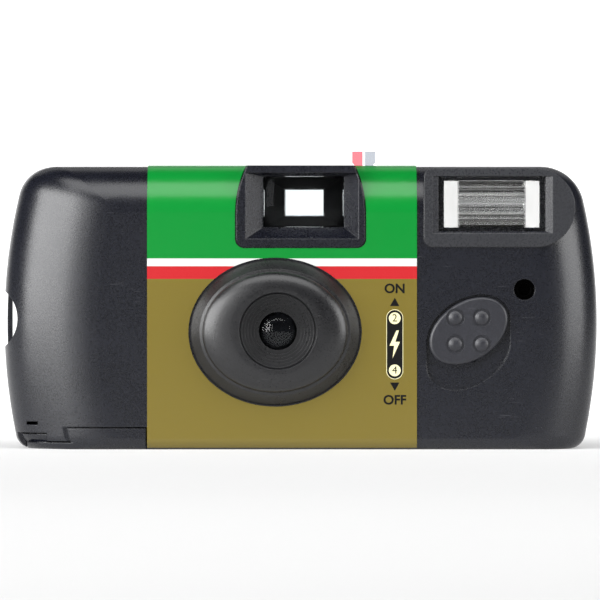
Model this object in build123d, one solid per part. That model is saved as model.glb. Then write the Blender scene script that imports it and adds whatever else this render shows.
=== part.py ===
from build123d import *
from math import cos, hypot, radians, sin, sqrt
import os

# A single-use film camera with built-in flash, in millimetres.
# +X is to the right seen from the front, +Y runs to the back, +Z is up.
# The origin is at the middle of the underside of the whole camera.
# The body is built round its contents, from the grip end to the flash end: cassette,
# film gate, supply roll and flash capacitor, each with the room beside it.

# Body shell: a box whose sides bulge and whose front edges are rounded differently
front_depth = 13.0
parting_y = 6.5
shell_wall = 1.2
side_radius = 100.0
crest_height = 23.0
grip_reach = 17.5
grip_round = 12.0
flash_side_reach = 12.0
flash_side_round = 8.0
front_top_round = 8.5
front_bottom_round = 2.0
rear_side_round = 5.0
rear_top_round = 4.0
rear_bottom_round = 2.0
top_left_corner = 6.5
top_right_corner = 8.0
bottom_corner = 3.0
least_corner = 1.0
corner_share = 0.5
section_shares = (0, 0.012, 0.04, 0.08, 0.13, 0.18, 0.25, 0.35, 0.5, 0.7, 1)

# Room beside the contents, from the grip end to the flash end, and over them
grip_room = 3.7
gate_to_cassette = 2.1
gate_to_supply = 5.8
supply_to_capacitor = 0.2
flash_end_room = 2.8
chamber_front_gap = 0.3
wheel_to_top = 2.7

# Gaps used all over
overrun = 3.0
fit = 0.05
running_gap = 0.3
seat_gap = 0.1

# Printed sleeve round the middle of the body, reaching out from the lens axis
label_reach_left = 23.6
label_reach_right = 25.1
label_thickness = 0.2
label_foot = 0.3
label_gap = 0.25

# Taking lens and its oval bezel, which sits slightly off the lens axis
bezel_shift = 0.5
bezel_drop = 0.2
bezel_half_width = 15.4
bezel_half_height = 13.2
bezel_height = 4.2
bezel_step_in = 1.8
bezel_step_up = 2.1
bezel_ledge_width = 0.5
bezel_ledge_rise = 0.15
bezel_rim_width = 0.5
bezel_face_shares = (0, 0.03, 0.1, 0.22, 0.4, 0.65, 1)
lens_hole_radius = 6.8
lens_hole_lip = 0.25
retainer_set_back = 0.6
lens_radius = 4.0
lens_sight_radius = 3.45
lens_thickness = 0.8
lens_front_curve = 5.5
retainer_flange = 0.5
retainer_rings = 5
aperture_radius = 1.6
aperture_half_width = 8.6
aperture_half_height = 6.0
aperture_sheet = 0.3

# Shutter, reaching out from the lens axis
shutter_room = 1.0
shutter_plate = 1.4
shutter_reach_left = 9.5
shutter_reach_right = 11.6
shutter_reach_high = 13.2
blade_sheet = 0.25
blade_pivot_dx = -5.6
blade_pivot_dz = 6.2
blade_pin_radius = 0.8
blade_paddle_radius = 2.7
blade_hub_radius = 1.7
blade_tail_dx = -2.6
blade_tail_dz = 3.6
lever_from_lens = 10.4
lever_post_radius = 1.1
lever_thickness = 1.2
lever_hub_radius = 2.2
lever_arm = 6.9
lever_leg_radius = 0.35
lever_leg_lap = 0.6
lever_rest_angle = -100.0
spring_wire = 0.3
spring_height = 1.6

# Film and its path
film_room = 0.6
film_thickness = 0.15
film_width = 35.0
film_bottom = 3.9
gate_width = 36.0
gate_height = 24.0
gate_plate = 1.8
tunnel_wall = 1.0
tunnel_front_width = 11.0
tunnel_front_height = 9.0
perforation_pitch = 4.75
perforation_width = 1.98
perforation_height = 2.8
perforation_edge = 2.0
frame_gap = 0.05

# Film cassette and its chamber
cassette_radius = 12.5
cassette_past_film = 5.2
cassette_floor_gap = 0.5
cassette_wall = 0.35
cassette_cap_height = 1.8
cassette_cap_wall = 0.3
cassette_lip_height = 0.55
cassette_lip_length = 4.2
cassette_lip_angle = 50.0
cassette_felt = 0.3
spool_core_radius = 5.6
spool_neck_radius = 4.4
spool_knob_radius = 5.7
spool_knob_height = 4.0
chamber_wall = 0.8
cassette_clearance = 0.2

# Film supply roll and its chamber
roll_radius = 9.0
roll_room = 1.2
supply_core_radius = 3.5
supply_flange = 0.3
supply_journal_radius = 1.6
supply_journal_length = 0.6

# Advance wheel, counter and sprocket on the top deck
deck_thickness = 1.0
deck_past_dial = 3.2
wheel_radius = 11.8
wheel_height = 3.9
wheel_teeth = 64
wheel_tooth_depth = 0.5
wheel_web = 0.9
wheel_rim_width = 1.8
wheel_hub_wall = 1.3
wheel_key_width = 1.6
sprocket_from_lens = 14.9
sprocket_radius = 6.2
sprocket_teeth = 8
sprocket_tooth_height = 0.9
sprocket_tooth_width = 1.4
sprocket_disc = 1.8
sprocket_shaft_radius = 0.95
sprocket_finger_radius = 1.3
dial_from_sprocket_x = 6.9
dial_from_sprocket_y = 4.05
dial_radius = 6.3
dial_thickness = 1.0
dial_teeth = 40
dial_tooth_depth = 0.35
dial_axle_radius = 1.5
dial_drop = 1.7
counter_radius = 2.2
counter_flange = 0.5
counter_reach = 4.8
pawl_thickness = 0.4
pawl_height = 2.4
pawl_length = 8.0
pawl_foot = 1.6

# Thumb scoop in the back, over the advance wheel, reaching out from the cassette axis
scoop_radius = 6.0
scoop_below_top = 3.3
scoop_offset = 1.5
scoop_reach_left = 12.2
scoop_reach_right = 11.8

# Shutter button, over the cassette and level with the striker
button_from_cassette = 0.8
button_behind_lever = 4.6
button_radius = 5.0
button_clearance = 0.2
button_flange_width = 1.0
button_flange_height = 0.9
button_sink = 0.1
button_dish = 0.5
button_dish_radius = 22.0
button_arm_width = 3.0
button_arm_reach = 18.6
button_finger = 2.2
button_finger_length = 2.0

# Viewfinder, a tapered tube with a lens at each end, set down from the top of the body
hood_from_lens = 4.1
hood_half_width = 11.6
hood_top_half_width = 9.6
hood_foot_below_top = 14.7
hood_waist_below_top = 9.0
hood_corner = 1.45
hood_proud = 0.35
finder_reach_left = 6.7
finder_reach_right = 7.8
finder_foot_below_top = 11.1
finder_head_below_top = 1.9
finder_flare_left = 3.3
finder_flare_right = 2.7
finder_flare_low = 2.2
finder_flare_top = 0.6
finder_set_back = 3.0
finder_wall = 0.6
finder_lens = 1.4
eyepiece_reach_left = 2.8
eyepiece_reach_right = 4.25
eyepiece_foot_below_top = 8.6
eyepiece_head_below_top = 3.85
eyepiece_flare = 0.9

# Flash window panel, reflector and tube, set in from the flash end and down from the top
panel_left_from_end = 31.6
panel_right_from_end = 4.3
panel_foot_below_top = 14.7
panel_head_below_top = 0.6
panel_corner = 1.5
panel_wall = 1.0
window_left_from_end = 29.0
window_right_from_end = 9.7
window_foot_below_top = 11.9
window_head_below_top = 2.0
window_flare_left = 1.3
window_flare_right = 1.5
window_flare_low = 0.4
window_flare_top = 0.1
window_glass = 0.9
window_sink = 0.4
window_rib_margin_left = 3.6
window_rib_margin_right = 3.9
window_rib_margin_low = 1.2
window_rib_margin_top = 0.7
window_ribs = 7
window_rib_depth = 0.35
window_ledge = 0.5
window_ledge_corner = 1.2
reflector_depth = 5.6
reflector_half_height = 4.3
reflector_half_width = 8.7
reflector_end_slant = 2.9
reflector_sheet = 0.5
reflector_flange = 0.4
reflector_lip = 0.5
tube_radius = 1.5
tube_overhang = 1.3
tube_set_back = 3.5
electrode_radius = 0.4
electrode_offset = 0.6

# Flash circuit board and what is soldered to it
board_from_guide = 1.3
board_from_end = 6.0
board_low = 8.0
board_below_top = 15.1
board_thickness = 1.0
board_past_cradle = 1.0
board_over_battery = 1.35
board_gap = 0.4
capacitor_behind_board = 11.2
capacitor_radius = 5.0
capacitor_below_top = 16.3
capacitor_bead = 0.25
capacitor_lead_rise = 11.5
capacitor_lead_drop = 2.5
lead_radius = 0.4
transformer_from_end = 14.5
transformer_rise = 1.0
transformer_size = 8.0
transformer_depth = 4.6
transformer_core = 1.2
coil_from_board_edge = 5.2
coil_rise = 14.0
coil_length = 7.0
coil_radius = 2.2
coil_collar = 0.6
neon_behind_guide = 2.9
neon_over_arm = 0.2
neon_from_guide = 0.1
neon_length = 5.2
neon_radius = 1.5
neon_tip_radius = 0.5

# Battery and contacts
battery_from_lens = 20.6
battery_length = 43.7
battery_radius = 5.25
battery_nub_radius = 2.2
battery_nub_length = 0.8
battery_front_gap = 0.25
battery_floor_gap = 0.55
shutter_over_battery = 1.15
cradle_from_cassette = 10.9
contact_sheet = 0.4
contact_width = 6.0
contact_tab_rise = 3.4
cradle_gap = 0.1
cradle_wall = 0.9
sync_lap = 2.6
sync_rise = 3.0
sync_width = 2.4
sync_sheet = 0.25

# Flash switch: knob, slider, contact leaf and light guide, which move as one
switch_from_end = 23.6
switch_travel = 4.1
knob_long = 7.77
knob_short = 5.29
knob_tilt = 33.6
knob_height = 1.5
knob_edge = 0.6
knob_dimple_spacing = 4.77
knob_dimple_radius = 1.2
knob_dimple_height = 0.35
knob_ring_radius = 1.65
knob_ring_depth = 0.2
recess_gap = 0.45
recess_depth = 0.8
recess_pad = 0.6
slot_half_width = 1.3
slider_half_width = 5.0
slider_half_height = 8.0
slider_thickness = 0.8
arm_below_top = 18.5
arm_width = 2.2
leaf_sheet = 0.3
guide_from_lens = 13.5
guide_width = 4.2
guide_proud = 2.7
guide_behind_board = 4.1
guide_thickness = 1.8
guide_split = 0.45
guide_split_length = 10.0
guide_head = 2.0
guide_flare = 0.35
guide_gap = 0.3

# Small round hole beside the flash switch
pinhole_from_switch_x = 10.1
pinhole_from_switch_z = 7.5
pinhole_radius = 1.15
pinhole_outer = 1.9
pinhole_depth = 0.6
pinhole_boss = 1.6
pinhole_wall = 0.7

# Strap notch in the grip end, with a bar across it
notch_radius = 6.3
notch_depth = 2.7
notch_z = 23.6
notch_wall = 0.7
bar_width = 0.9
bar_depth = 2.0
bar_from_back = 7.5

# Cartridge door under the cassette, reaching out from the cassette axis
door_reach_left = 12.8
door_reach_right = 13.0
door_from_front = 1.8
door_gap = 0.25
lip_reach = 9.0
lip_slant = 0.8
lip_height = 3.8
hinge_from_back = 2.4
hinge_z = 0.75
hinge_radius = 0.75
hinge_pin_radius = 0.35
hinge_ear_reach_left = 2.8
hinge_ear_reach_right = 2.6

# Slot beside the door lip, and the door's own corner below it, set back from the cover
corner_slot_length = 2.1
corner_slot_z = 4.4
corner_slot_height = 0.6
corner_top_z = 2.7
corner_inset = 0.55
corner_depth = 9.0

# Pressure ribs inside the back, behind the film
pressure_ribs = 5
pressure_rib_width = 0.8
pressure_gap = 0.15

# Width: the contents side by side
chamber_bore = cassette_radius + cassette_clearance
chamber_radius = chamber_bore + chamber_wall
supply_bore = roll_radius + roll_room
supply_outer = supply_bore + chamber_wall
grip_side_width = grip_room + chamber_radius + chamber_bore + gate_to_cassette
flash_side_width = gate_to_supply + supply_bore + supply_outer + supply_to_capacitor
capacitor_width = 2 * capacitor_radius + flash_end_room
body_width = grip_side_width + gate_width + flash_side_width + capacitor_width
flash_end = body_width / 2
cassette_x = grip_room + chamber_radius - flash_end
lens_x = cassette_x + chamber_bore + gate_to_cassette + gate_width / 2
supply_x = lens_x + gate_width / 2 + gate_to_supply + supply_bore
capacitor_x = supply_x + supply_outer + supply_to_capacitor + capacitor_radius

# Height: the cassette stands under the deck, the wheel and the top
cassette_height = film_width + cassette_past_film
cassette_low = shell_wall + cassette_floor_gap
cassette_top = cassette_low + cassette_height
deck_low = cassette_top + running_gap
deck_top = deck_low + deck_thickness
wheel_low = deck_top + running_gap
wheel_top = wheel_low + wheel_height
inner_top = wheel_top + wheel_to_top
body_height = inner_top + shell_wall
film_top = film_bottom + film_width
lens_z = film_bottom + film_width / 2

# Depth: the cassette lies between the front wall and the film
front_y = -front_depth
inner_front_y = front_y + shell_wall
cassette_y = inner_front_y + chamber_front_gap + chamber_radius
film_front_y = cassette_y + cassette_radius + cassette_lip_height
film_back_y = film_front_y + film_thickness
inner_rear_y = film_back_y + film_room
rear_depth = inner_rear_y + shell_wall
rail_y = film_front_y - frame_gap
supply_y = film_front_y - running_gap - roll_radius
sprocket_y = film_front_y - running_gap - sprocket_radius

# Lens, shutter and sleeve
bezel_x = lens_x - bezel_shift
bezel_z = lens_z - bezel_drop
bezel_front_y = front_y - bezel_height
lens_back_y = inner_front_y
lens_front_y = lens_back_y - lens_thickness
aperture_front_y = lens_back_y
aperture_back_y = aperture_front_y + aperture_sheet
shutter_front_y = aperture_back_y + shutter_room
shutter_back_y = shutter_front_y + shutter_plate
shutter_right = lens_x + shutter_reach_right
tunnel_front_y = shutter_back_y
blade_y = (aperture_back_y + shutter_front_y - blade_sheet) / 2
blade_pivot_x = lens_x + blade_pivot_dx
blade_pivot_z = lens_z + blade_pivot_dz
label_left = lens_x - label_reach_left
label_right = lens_x + label_reach_right
lever_x = lens_x - lever_from_lens
lever_y = blade_y + blade_sheet / 2 - lever_arm * sin(radians(lever_rest_angle))
lever_low = deck_top + running_gap

# Deck pieces, button and thumb scoop
sprocket_x = lens_x - sprocket_from_lens
perforation_z = film_top - perforation_edge - perforation_height / 2
sprocket_low = perforation_z - sprocket_disc / 2
sprocket_high = perforation_z + sprocket_disc / 2
dial_x = sprocket_x + dial_from_sprocket_x
dial_y = sprocket_y - dial_from_sprocket_y
dial_top = inner_top - dial_drop
dial_low = dial_top - dial_thickness
counter_y = dial_y + counter_reach
button_x = cassette_x + button_from_cassette
button_y = lever_y + button_behind_lever
scoop_y = rear_depth + scoop_offset
scoop_z = body_height - scoop_below_top

# Viewfinder
hood_x = lens_x + hood_from_lens
hood_y = front_y - hood_proud
hood_bottom = body_height - hood_foot_below_top
hood_waist = body_height - hood_waist_below_top
finder_x_span = (hood_x - finder_reach_left, hood_x + finder_reach_right)
finder_z_span = (body_height - finder_foot_below_top, body_height - finder_head_below_top)
eyepiece_x_span = (hood_x - eyepiece_reach_left, hood_x + eyepiece_reach_right)
eyepiece_z_span = (body_height - eyepiece_foot_below_top, body_height - eyepiece_head_below_top)
finder_opening = [finder_x_span, finder_z_span]
eyepiece_opening = [eyepiece_x_span, eyepiece_z_span]
flare_back_y = hood_y + finder_set_back
finder_front_y = flare_back_y + seat_gap
finder_back_y = inner_rear_y - seat_gap

# Flash panel
panel_left = flash_end - panel_left_from_end
panel_right = flash_end - panel_right_from_end
panel_low = body_height - panel_foot_below_top
panel_high = body_height - panel_head_below_top
window_left = flash_end - window_left_from_end
window_right = flash_end - window_right_from_end
window_low = body_height - window_foot_below_top
window_high = body_height - window_head_below_top
window_front_y = hood_y + window_sink
window_back_y = window_front_y + window_glass
ledge_back_y = window_back_y + window_ledge
reflector_front_y = ledge_back_y + seat_gap
reflector_z = (window_low + window_high) / 2
reflector_x = (window_left + window_right) / 2
tube_y = reflector_front_y + tube_set_back

# Flash switch and light guide
switch_x = flash_end - switch_from_end
switch_z = lens_z
recess_floor_y = front_y + recess_depth
pad_y = inner_front_y + recess_pad
knob_back_y = recess_floor_y - seat_gap
knob_front_y = knob_back_y - knob_height
slider_front_y = pad_y + seat_gap
slider_back_y = slider_front_y + slider_thickness
leaf_back_y = slider_back_y + leaf_sheet
board_front_y = leaf_back_y + board_gap
board_back_y = board_front_y + board_thickness
arm_high = body_height - arm_below_top
arm_low = arm_high - arm_width
guide_left = lens_x + guide_from_lens
guide_right = guide_left + guide_width
guide_y = board_back_y + guide_behind_board
guide_top = body_height + guide_proud
pinhole_x = switch_x + pinhole_from_switch_x
pinhole_z = switch_z + pinhole_from_switch_z

# Battery, circuit board and what it carries
battery_left = lens_x - battery_from_lens
battery_right = battery_left + battery_length
battery_y = inner_front_y + battery_front_gap + battery_radius
battery_z = shell_wall + battery_floor_gap + battery_radius
cradle_left = cassette_x + cradle_from_cassette
cradle_right = battery_right + battery_nub_length + contact_sheet + cradle_wall
shutter_low = battery_z + battery_radius + shutter_over_battery
board_left = guide_right + board_from_guide
board_right = flash_end - board_from_end
board_high = body_height - board_below_top
board_notch_right = cradle_right + board_past_cradle
board_notch_top = battery_z + battery_radius + board_over_battery
capacitor_y = board_back_y + capacitor_behind_board
capacitor_low = board_low
capacitor_high = body_height - capacitor_below_top
transformer_left = flash_end - transformer_from_end
transformer_low = board_low + transformer_rise
coil_x = board_left + coil_from_board_edge
coil_low = board_low + coil_rise
neon_y = guide_y + neon_behind_guide
neon_z = arm_high + neon_over_arm
neon_left = guide_left + neon_from_guide
sync_right = board_left + sync_lap
sync_z = lens_z + sync_rise

# Grip end and cartridge door
notch_x = notch_depth - notch_radius - flash_end
bar_y = rear_depth - bar_from_back
door_left = cassette_x - door_reach_left
door_right = cassette_x + door_reach_right
door_front = front_y + door_from_front
lip_left = cassette_x - lip_reach
lip_right = label_left - label_gap
hinge_y = rear_depth - hinge_from_back
hinge_ear_left = cassette_x - hinge_ear_reach_left
hinge_ear_right = cassette_x + hinge_ear_reach_right


def block(x_span, y_span, z_span):
    """Box between two planes on each axis."""
    sizes = [abs(span[1] - span[0]) for span in (x_span, y_span, z_span)]
    middle = [(span[0] + span[1]) / 2 for span in (x_span, y_span, z_span)]
    return Pos(*middle) * Box(*sizes)


def rod_x(y, z, x_span, radius):
    """Cylinder along X."""
    length = x_span[1] - x_span[0]
    return Pos((x_span[0] + x_span[1]) / 2, y, z) * Rot(0, 90, 0) * Cylinder(radius, length)


def rod_y(x, z, y_span, radius):
    """Cylinder along Y."""
    length = y_span[1] - y_span[0]
    return Pos(x, (y_span[0] + y_span[1]) / 2, z) * Rot(90, 0, 0) * Cylinder(radius, length)


def rod_z(x, y, z_span, radius):
    """Cylinder along Z."""
    length = z_span[1] - z_span[0]
    return Pos(x, y, (z_span[0] + z_span[1]) / 2) * Cylinder(radius, length)


def prism_y(sketch, y_span):
    """Front-view outline, drawn as X and Z, pushed through a span of Y."""
    front, back = min(y_span), max(y_span)
    return extrude(Plane.XZ.offset(-back) * sketch, amount=back - front)


def rectangle(x_span, z_span):
    """Flat rectangle between two pairs of lines."""
    middle = ((x_span[0] + x_span[1]) / 2, (z_span[0] + z_span[1]) / 2)
    return Pos(*middle) * Rectangle(x_span[1] - x_span[0], z_span[1] - z_span[0])


def taper_y(front_spans, front_at, back_spans, back_at):
    """Straight-sided tunnel between a rectangle in front and one behind."""
    front = Plane.XZ.offset(-front_at) * rectangle(*front_spans)
    back = Plane.XZ.offset(-back_at) * rectangle(*back_spans)
    return loft([front, back], ruled=True)


def grown(spans, amount):
    """Pair of spans made larger by the same amount all round."""
    return [(low - amount, high + amount) for low, high in spans]


def side_x(z):
    """Half width of the body at a height: the ends are large arcs."""
    drop = side_radius - sqrt(side_radius**2 - (z - crest_height) ** 2)
    return body_width / 2 - drop


def edge_inset(reach, deep, depth, wall):
    """How far an edge round draws in, at a depth behind the outer face."""
    share = min(max(deep - depth, 0) / (deep - wall), 1)
    return reach - (reach - wall) * sqrt(1 - share**2)


def body_section(y, depth, wall, rounds):
    """Cross-section of the body at one y, drawn in by its edge rounds."""
    left_in, right_in, top_in, foot_in = (edge_inset(*r, depth, wall) for r in rounds)
    top = body_height - top_in
    middle = (top + foot_in) / 2
    left = [(-side_x(z) + left_in, z) for z in (foot_in, middle, top)]
    right = [(side_x(z) - right_in, z) for z in (foot_in, middle, top)]
    edges = [
        Line(left[2], right[2]),
        ThreePointArc(right[2], right[1], right[0]),
        Line(right[0], left[0]),
        ThreePointArc(left[0], left[1], left[2]),
    ]
    outline = make_face(edges).face()
    corners = [
        (left[2], top_left_corner, min(left_in, top_in)),
        (right[2], top_right_corner, min(right_in, top_in)),
        (left[0], bottom_corner, min(left_in, foot_in)),
        (right[0], bottom_corner, min(right_in, foot_in)),
    ]
    for (x, z), radius, inset in corners:
        corner = min(outline.vertices(), key=lambda v: hypot(v.X - x, v.Y - z))
        outline = outline.fillet_2d(max(radius - corner_share * inset, least_corner), [corner])
    return Plane.XZ.offset(-y) * outline


def body_half(wall, front):
    """Solid of the front or rear half of the body, drawn in by a wall."""
    if front:
        rounds = [(grip_reach, grip_round), (flash_side_reach, flash_side_round)]
        rounds += [(r, r) for r in (front_top_round, front_bottom_round)]
        outer, inward = -front_depth, 1
    else:
        rounds = [(rear_side_round, rear_side_round)] * 2
        rounds += [(r, r) for r in (rear_top_round, rear_bottom_round)]
        outer, inward = rear_depth, -1
    deepest = max(deep for reach, deep in rounds)
    depths = [wall + (deepest - wall) * share for share in section_shares]
    sections = [body_section(outer + inward * d, d, wall, rounds) for d in depths]
    straight = abs(parting_y - (outer + inward * deepest))
    return loft(sections) + extrude(sections[-1], amount=straight, dir=(0, inward, 0))


front_solid = body_half(0, True)
front_hollow = body_half(shell_wall, True)
rear_solid = body_half(0, False)
rear_hollow = body_half(shell_wall, False)
above_floor = block((-body_width, body_width), (-rear_depth, rear_depth), (0, body_height + overrun))


def hood_outline(grow):
    """Bell shape round the viewfinder opening: straight foot and curved flanks."""
    wide, top = hood_half_width + grow, body_height + grow
    foot = hood_bottom - grow
    lean, rise = hood_half_width - hood_top_half_width, top - hood_waist
    radius = (lean**2 + rise**2) / (2 * lean)
    half_lean = radius - sqrt(radius**2 - (rise / 2) ** 2)
    flank = [(wide, hood_waist), (wide - half_lean, hood_waist + rise / 2), (wide - lean, top)]
    right = [(hood_x + x, z) for x, z in flank]
    left = [(hood_x - x, z) for x, z in flank]
    edges = [
        Line((hood_x - wide, foot), left[0]),
        ThreePointArc(*left),
        Line(left[2], right[2]),
        ThreePointArc(*reversed(right)),
        Line(right[0], (hood_x + wide, foot)),
        Line((hood_x + wide, foot), (hood_x - wide, foot)),
    ]
    outline = make_face(edges).face()
    feet = outline.vertices().sort_by(Axis.Y)[:2]
    return outline.fillet_2d(hood_corner + max(grow, 0), feet)


def panel_outline(grow):
    """Flash panel: square left end, round right end."""
    radius = (panel_high - panel_low) / 2 + grow
    middle = (panel_high + panel_low) / 2
    straight = panel_right + grow - radius
    high, low, left = middle + radius, middle - radius, panel_left - grow
    edges = [
        Line((left, high), (straight, high)),
        ThreePointArc((straight, high), (straight + radius, middle), (straight, low)),
        Line((straight, low), (left, low)),
        Line((left, low), (left, high)),
    ]
    outline = make_face(edges).face()
    corners = [v for v in outline.vertices() if v.X < straight - radius]
    return outline.fillet_2d(panel_corner, corners)


def ledge_outline():
    """Opening behind the flash window, with round corners."""
    wide, tall = 2 * reflector_half_width, 2 * reflector_half_height
    return Pos(reflector_x, reflector_z) * RectangleRounded(wide, tall, window_ledge_corner)


def oval(grow):
    """Ellipse of the lens bezel, grown outwards."""
    return Pos(bezel_x, bezel_z) * Ellipse(bezel_half_width + grow, bezel_half_height + grow)


def knob_oval(grow, drop=0):
    """Tilted ellipse of the switch knob, lowered by part of its travel."""
    ellipse = Ellipse(knob_long + grow, knob_short + grow)
    return Pos(switch_x, switch_z - drop) * Rot(0, 0, knob_tilt) * ellipse


def knob_path(grow):
    """Outline swept by the knob over its whole travel."""
    return make_hull((knob_oval(grow) + knob_oval(grow, switch_travel)).edges())


def strap_notch(radius):
    """Round scoop through the grip end for the strap."""
    return rod_y(notch_x, notch_z, (-front_depth - overrun, rear_depth + overrun), radius)


def thumb_scoop(radius, margin):
    """Trough in the back above the cassette, for the thumb."""
    left = cassette_x - scoop_reach_left - margin
    right = cassette_x + scoop_reach_right + margin
    return rod_x(scoop_y, scoop_z, (left, right), radius)


def door_zone(margin):
    """Space of the cartridge door: floor, front lip, hinge line and lower front corner."""
    wide = (door_left - margin, door_right + margin)
    floor = block(wide, (door_front - margin, hinge_y), (-overrun, shell_wall + margin))
    lip_points = [
        (lip_left - lip_slant - margin, lip_height + margin),
        (lip_right + margin, lip_height + margin),
        (lip_right + margin, -overrun),
        (lip_left - margin, -overrun),
    ]
    lip_outline = make_face(Polyline(*lip_points, close=True))
    lip = prism_y(lip_outline, (front_y - overrun, inner_front_y + margin))
    bridge = block(
        (lip_left - margin, lip_right + margin),
        (front_y - overrun, door_front + overrun),
        (-overrun, shell_wall + margin),
    )
    knuckle = rod_x(hinge_y, hinge_z, wide, hinge_radius + margin)
    below = block(wide, (hinge_y - overrun, hinge_y + hinge_radius + margin), (-overrun, hinge_z))
    corner = block(
        (-body_width, lip_left),
        (front_y - overrun, front_y + corner_depth + margin),
        (-overrun, corner_top_z + margin),
    )
    return floor, lip + bridge, knuckle, below, corner


def notch_liner(solid):
    """Wall that closes the body behind the strap notch."""
    ring = strap_notch(notch_radius + notch_wall) - strap_notch(notch_radius)
    return ring & solid


def bezel_ring(share):
    """Outline of the lens surround's face: its oval edge at 0, the rim of its hole at 1."""
    narrower = bezel_step_in + bezel_ledge_width
    rim = lens_hole_radius + bezel_rim_width
    wide, tall = (
        (half - narrower) * (1 - share) + rim * share for half in (bezel_half_width, bezel_half_height)
    )
    return Pos(bezel_x + bezel_shift * share, bezel_z + bezel_drop * share) * Ellipse(wide, tall)


def lens_bezel():
    """Oval lens surround: steep foot, narrow ledge, and a face that domes up to the hole."""
    foot_top = front_y - bezel_step_up
    ledge_top = foot_top - bezel_ledge_rise
    foot = [Plane.XZ.offset(-front_y) * oval(0), Plane.XZ.offset(-foot_top) * oval(-bezel_step_in)]
    face = []
    for share in bezel_face_shares:
        y = ledge_top + (bezel_front_y - ledge_top) * sqrt(1 - (1 - share) ** 2)
        face.append(Plane.XZ.offset(-y) * bezel_ring(share))
    shape = loft(foot, ruled=True) + loft([foot[1], face[0]], ruled=True) + loft(face)
    shape -= rod_y(lens_x, lens_z, (bezel_front_y - overrun, front_y + overrun), lens_hole_radius)
    lens_axis = Pos(lens_x, lens_z)
    lip_top = Plane.XZ.offset(fit - bezel_front_y) * lens_axis * Circle(lens_hole_radius + lens_hole_lip)
    lip_low = Plane.XZ.offset(-bezel_front_y - lens_hole_lip) * lens_axis * Circle(lens_hole_radius)
    return shape - loft([lip_top, lip_low], ruled=True)


def lens_retainer():
    """Stepped funnel in front of the lens, with a flange behind the bezel."""
    outer = lens_hole_radius - seat_gap
    front = bezel_front_y + retainer_set_back
    body = rod_y(lens_x, lens_z, (front, front_y), outer)
    back = lens_front_y - fit
    body += rod_y(lens_x, lens_z, (front_y, back), outer + retainer_flange)
    depth = (front_y - front) / retainer_rings
    width = (outer - retainer_flange - lens_sight_radius) / retainer_rings
    for step in range(retainer_rings):
        radius = outer - retainer_flange / 2 - step * width
        start = front + step * depth
        body -= rod_y(lens_x, lens_z, (start - depth, start + depth), radius)
    return body - rod_y(lens_x, lens_z, (front, back + overrun), lens_sight_radius)


def lens_element():
    """Single meniscus lens with its flat seating rim."""
    body = rod_y(lens_x, lens_z, (lens_front_y, lens_back_y), lens_radius)
    sag = lens_front_curve - sqrt(lens_front_curve**2 - lens_sight_radius**2)
    ball = Pos(lens_x, lens_front_y - sag + lens_front_curve, lens_z) * Sphere(lens_front_curve)
    cap_span = (lens_front_y - sag - overrun, lens_front_y + seat_gap)
    cap = ball & rod_y(lens_x, lens_z, cap_span, lens_sight_radius - seat_gap)
    hollow_sag = sag / 2
    hollow_radius = (lens_sight_radius**2 + hollow_sag**2) / (2 * hollow_sag)
    hollow = Pos(lens_x, lens_back_y - hollow_sag + hollow_radius, lens_z) * Sphere(hollow_radius)
    return body + cap - hollow


def aperture_plate():
    """Thin stop behind the lens, on two legs that stand on the shutter base."""
    wide = (lens_x - aperture_half_width, lens_x + aperture_half_width)
    tall = (lens_z - aperture_half_height, lens_z + aperture_half_height)
    plate = block(wide, (aperture_front_y, aperture_back_y), tall)
    bottom = (tall[0], tall[0] + aperture_sheet * 2)
    plate += block(wide, (aperture_front_y, shutter_front_y), bottom)
    side = (wide[1] - aperture_sheet * 2, wide[1])
    plate += block(side, (aperture_front_y, shutter_front_y), tall)
    plate -= rod_y(lens_x, lens_z, (aperture_front_y - overrun, shutter_front_y), aperture_radius)
    return plate


def shutter_base():
    """Moulded plate on the front of the light tunnel, with the blade's pin."""
    wide = (lens_x - shutter_reach_left, shutter_right)
    tall = (shutter_low, lens_z + shutter_reach_high)
    plate = block(wide, (shutter_front_y, shutter_back_y), tall)
    sight = (shutter_front_y - overrun, shutter_back_y + overrun)
    plate -= rod_y(lens_x, lens_z, sight, lens_sight_radius)
    pin_span = (aperture_back_y, shutter_front_y)
    pin = rod_y(blade_pivot_x, blade_pivot_z, pin_span, blade_pin_radius)
    return plate + pin


def shutter_blade():
    """Thin blade that hides the aperture and swings aside."""
    span = (blade_y, blade_y + blade_sheet)
    paddle = Pos(lens_x, lens_z) * Circle(blade_paddle_radius)
    hub = Pos(blade_pivot_x, blade_pivot_z) * Circle(blade_hub_radius)
    tail_place = Pos(blade_pivot_x + blade_tail_dx, blade_pivot_z + blade_tail_dz)
    tail = tail_place * Circle(blade_hub_radius / 2)
    outline = make_hull((paddle + hub).edges()) + make_hull((hub + tail).edges())
    blade = prism_y(outline, span)
    hole_span = (span[0] - overrun, span[1] + overrun)
    return blade - rod_y(blade_pivot_x, blade_pivot_z, hole_span, blade_pin_radius + fit)


def blade_spring():
    """Hair spring wound round the blade's pin."""
    span = (blade_y + blade_sheet + seat_gap, shutter_front_y)
    hole_span = (span[0] - overrun, span[1] + overrun)
    coil = rod_y(blade_pivot_x, blade_pivot_z, span, blade_pin_radius + spring_wire)
    coil -= rod_y(blade_pivot_x, blade_pivot_z, hole_span, blade_pin_radius)
    leg_left = blade_pivot_x + blade_pin_radius
    leg = (leg_left, leg_left + 2 * blade_hub_radius)
    tall = (blade_pivot_z - spring_wire, blade_pivot_z)
    return coil + block(leg, (span[1] - spring_wire, span[1]), tall)


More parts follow.
